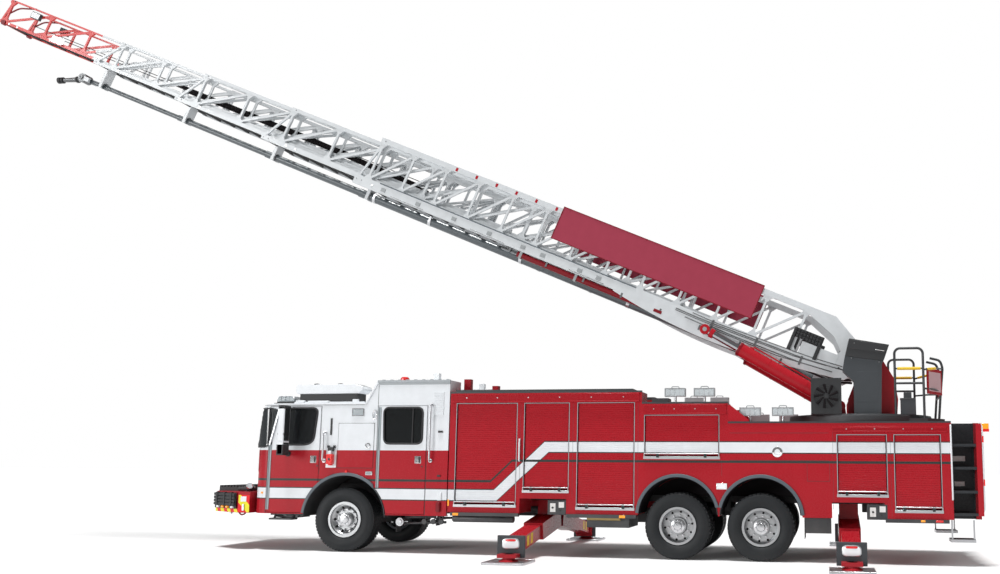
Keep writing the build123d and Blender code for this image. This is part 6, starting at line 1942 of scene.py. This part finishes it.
    def heel_bundle(self) -> None:
        """Fixed lines and the drum at the ladder's heel."""
        lines, drum = self.forms(2)
        for _ in both(lines):
            for y in (0.20, 0.28, 0.36):
                lines.pipe([(0.06, y, -0.40), (0.34, y, -0.498), (1.30, y, -0.502), (2.70, y, -0.502)], 0.013, 8, 0.06)
            lines.boxes(*((u, u + 0.05, 0.16, 0.40, -0.520, -0.486) for u in (0.90, 1.60, 2.40)))
        lines.piece("heel_lines", "soft_rubber", "ladder_1")
        drum.lathe([(-0.44, 0.17), (-0.42, 0.17), (-0.41, 0.11), (0.41, 0.11), (0.42, 0.17), (0.44, 0.17)],
                   (0.28, 0.0, -0.10), Axis.Y, 40)
        drum.piece("winch_drum", "gunmetal", "ladder_1")

    def fly_gear(self) -> None:
        """Lamps, folding steps, nose frame and cable chain of the fly section."""
        made = self.forms(5)
        lamp, lens, step, nose, chain = made
        for _ in both(*made):
            lamp.box(18.05, 18.28, 0.345, 0.405, 0.10, 0.24)
            lamp.pin(18.165, 0.17, 0.33, 0.36, 0.020, 12)
            lens.box(18.065, 18.265, 0.404, 0.411, 0.115, 0.225)
            step.boxes((17.30, 17.62, 0.345, 0.39, -0.20, -0.17), (17.30, 17.62, 0.345, 0.352, -0.20, -0.06))
            nose.pin(18.90, -0.20, 0.29, 0.362, 0.052, 28)
            nose.pipe([(18.30, 0.324, 0.315), (18.70, 0.324, 0.20), (18.965, 0.324, -0.06)], 0.016, 10, 0.08)
            for u in (8.80 + self.chain_pitch * k for k in range(self.chain_links)):
                w = -0.128 + 0.064 * min(1.0, (u - 8.80) / 2.4)
                chain.box(u, u + 0.062, 0.215, 0.275, w, w + 0.058)
            for w in (-0.165, -0.020):
                chain.rod((8.75, 0.245, w), (18.30, 0.245, w), 0.007, 6)
        for form, name, finish, bevel in (
                (chain, "cable_chain", "night_black", 0.0), (lamp, "tip_lamps", "grey_paint", 0.004),
                (lens, "tip_lenses", "lamp_lens", 0.002), (step, "tip_steps", "tread_plate", 0.002),
                (nose, "tip_nose", "deep_red", 0.002)):
            form.piece(name, finish, "ladder_5", bevel)

    def water(self) -> None:
        """Clamps round the water pipes, and the monitor's cap and rings."""
        ring = ((-0.03, -0.006), (-0.03, 0.006), (0.03, 0.006), (0.03, -0.006))
        for number, spots, radius, top in (
                (1, (2.20, 4.20, 6.40, 8.36, 9.60), 0.084, -0.540), (2, (11.95,), 0.071, -0.470),
                (3, (14.13,), 0.059, -0.470), (4, (16.29,), 0.048, -0.470)):
            clamp, = self.forms(1)
            for u in spots:
                clamp.lathe([(a, radius + b) for a, b in ring], (u, 0.0, -PIPE_DROP), Axis.X, 32)
                clamp.boxes(*((u - 0.02, u + 0.02, y - 0.014, y + 0.014, -0.640, top) for y in mirrored(radius)))
            clamp.piece(f"pipe_clamps_{number}", "satin_metal", f"ladder_{number}", 0.001)
        cap, rings = self.forms(2)
        cap.lathe([(-0.122, 0.050), (-0.150, 0.050), (-0.150, 0.012), (-0.122, 0.012)], self.head, Axis.Y, 32)
        cap.piece("monitor_cap", "gunmetal", "water_monitor", 0.001)
        fall, start = math.radians(22.0), Vector(self.head)
        line = Vector((math.cos(fall), 0.0, -math.sin(fall)))
        for a, b, r0, r1 in ((0.520, 0.560, 0.064, 0.064), (0.580, 0.640, 0.062, 0.066), (0.16, 0.20, 0.066, 0.066)):
            rings.rod(start + line * a, start + line * b, r0, 36, r1)
        rings.piece("monitor_rings", "black_plastic", "water_monitor", 0.001)

    def build(self) -> None:
        """Dress every section, then what only one of them has."""
        for section in SECTIONS:
            self.section(section)
        self.base_gear()
        self.heel_bundle()
        self.fly_gear()
        self.water()


# ---------------------------------------------------------------- studio
def linked(name: str, data: bpy.types.ID) -> bpy.types.Object:
    """A new object in the scene."""
    obj = bpy.data.objects.new(name, data)
    bpy.context.scene.collection.objects.link(obj)
    return obj


@dataclass
class Studio:
    """Floor, soft lights and the camera."""

    place: Point = (7.264, -16.669, 1.494)
    yaw: float = 0.1833
    pitch: float = 0.1316
    roll: float = 0.0059
    lens: float = 34.72
    shift: Pair = (-0.151, 0.05)
    world_strength: float = 0.22
    floor_size: float = 150.0
    floor_glow: float = 0.03
    suns: tuple[tuple[str, Point, float, float], ...] = (
        ("top", (0.05, 0.14, -1.0), 12.0, 3.35), ("front", (0.85, 1.0, -0.26), 20.0, 1.30),
        ("back", (-0.4, -0.8, -0.5), 30.0, 0.4))

    def camera(self) -> None:
        """Set the camera up from its place and angles."""
        data = bpy.data.cameras.new("camera")
        data.lens = self.lens
        data.sensor_fit = "HORIZONTAL"
        data.sensor_width = 36.0
        data.shift_x, data.shift_y = self.shift
        data.clip_end = 500.0
        obj = linked("camera", data)
        level = math.cos(self.pitch)
        forward = Vector((-math.sin(self.yaw) * level, math.cos(self.yaw) * level, math.sin(self.pitch)))
        right = forward.cross(Vector((0.0, 0.0, 1.0))).normalized()
        up = right.cross(forward)
        c, s = math.cos(self.roll), math.sin(self.roll)
        axes = Matrix((right * c + up * s, up * c - right * s, -forward)).transposed().to_4x4()
        obj.matrix_world = Matrix.Translation(Vector(self.place)) @ axes
        bpy.context.scene.camera = obj

    def world(self) -> None:
        """White to the camera, soft grey light elsewhere."""
        world = bpy.data.worlds.new("studio")
        bpy.context.scene.world = world
        world.use_nodes = True
        g = Graph(world.node_tree)
        g.tree.nodes.clear()
        path = g.add("LightPath").outputs
        seen = g.calc("MAXIMUM", path["Is Camera Ray"], path["Is Transmission Ray"])
        soft, plain = (g.add("Background", {"Color": (1.0, 1.0, 1.0, 1.0), "Strength": strength}).outputs[0]
                       for strength in (self.world_strength, 1.0))
        g.add("OutputWorld", {0: g.add("MixShader", {0: seen, 1: soft, 2: plain}).outputs[0]})

    def floor(self) -> None:
        """A wide pale floor that keeps the shadow."""
        mesh = bmesh.new()
        bmesh.ops.create_grid(mesh, x_segments=4, y_segments=4, size=self.floor_size)
        data = bpy.data.meshes.new("floor")
        mesh.to_mesh(data)
        mesh.free()
        obj = linked("floor", data)
        obj.location = (0.0, 0.0, -0.001)
        material = bpy.data.materials.new("pale_floor")
        material.use_nodes = True
        g = Graph(material.node_tree)
        g.tree.nodes.clear()
        patches = g.add("TexNoise", {"Scale": 0.8}).outputs[0]
        matt = g.add("BsdfDiffuse", {"Color": g.blend(patches, (0.79, 0.79, 0.79, 1.0), (0.80, 0.80, 0.80, 1.0))})
        seen = g.add("LightPath").outputs["Is Camera Ray"]
        lift = g.add("Emission", {"Color": (1.0, 1.0, 1.0, 1.0), "Strength": g.times(seen, self.floor_glow)})
        g.add("OutputMaterial", {0: g.add("AddShader", {0: matt.outputs[0], 1: lift.outputs[0]}).outputs[0]})
        data.materials.append(material)

    def lights(self) -> None:
        """Soft suns from above, from the camera's side and from behind."""
        for name, aim, angle, energy in self.suns:
            data = bpy.data.lights.new(name, "SUN")
            data.energy = energy
            data.angle = math.radians(angle)
            obj = linked(name, data)
            obj.location = (0.0, 0.0, 20.0)
            obj.rotation_euler = Vector(aim).to_track_quat("-Z", "Y").to_euler()

    def build(self) -> None:
        """Make the whole studio."""
        self.camera()
        self.world()
        self.floor()
        self.lights()
        bpy.context.scene.view_settings.view_transform = "Standard"


NODES = {
    "cab_paint": "cab_shell door_front_left door_front_right door_rear_left door_rear_right",
    "body_paint": "front_body rear_body roll_shutters",
    "plain_red": "front_bumper lift_barrels outrigger_sleeves outrigger_front_left outrigger_front_right"
                 " outrigger_rear_left outrigger_rear_right",
    "dark_paint": "body_trim turntable_rails underbody",
    "cast_iron": "frame_rails front_axle rear_axles engine_block knuckle_left knuckle_right",
    "gunmetal": "turntable_ring monitor",
    "deck_paint": "turntable_deck",
    "grey_paint": "turntable_console",
    "soft_rubber": "wheel_arches",
    "rod_metal": "lift_rods",
    "trim_plastic": "cab_interior",
    "dark_glass": "windscreen glass_front_left glass_front_right glass_rear_left glass_rear_right",
    "rim_metal": "front_rim_left front_rim_right twin_rims_1_left twin_rims_1_right twin_rims_2_left"
                 " twin_rims_2_right",
    "tyre_rubber": "front_tyre_left front_tyre_right twin_tyres_1_left twin_tyres_1_right twin_tyres_2_left"
                   " twin_tyres_2_right",
    "chrome": "grille",
    "lamp_lens": "lamps",
    "satin_metal": "flood_lamps rear_steps",
    "plain_white": "roof_gear",
    "sign_red": "sign_panels",
    "ladder_paint": "ladder_base ladder_second ladder_third ladder_fourth ladder_fly",
}


def main() -> None:
    """Build the scene in order."""
    logging.basicConfig(level=logging.INFO, format="%(message)s")
    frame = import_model()
    Studio().build()
    Form.palette = Palette()
    Form.palette.coat(frame, NODES)
    bare = sorted(set(frame["nodes"]) - set(" ".join(NODES.values()).split()))
    LOG.info("nodes without a finish: %s", bare)
    build_wheels()
    CabTrim().build()
    BodyTrim().build()
    Underside().build()
    build_outriggers()
    Turntable().build()
    LiftCylinders().build()
    Ladder().build()


if __name__ == "__main__":
    main()
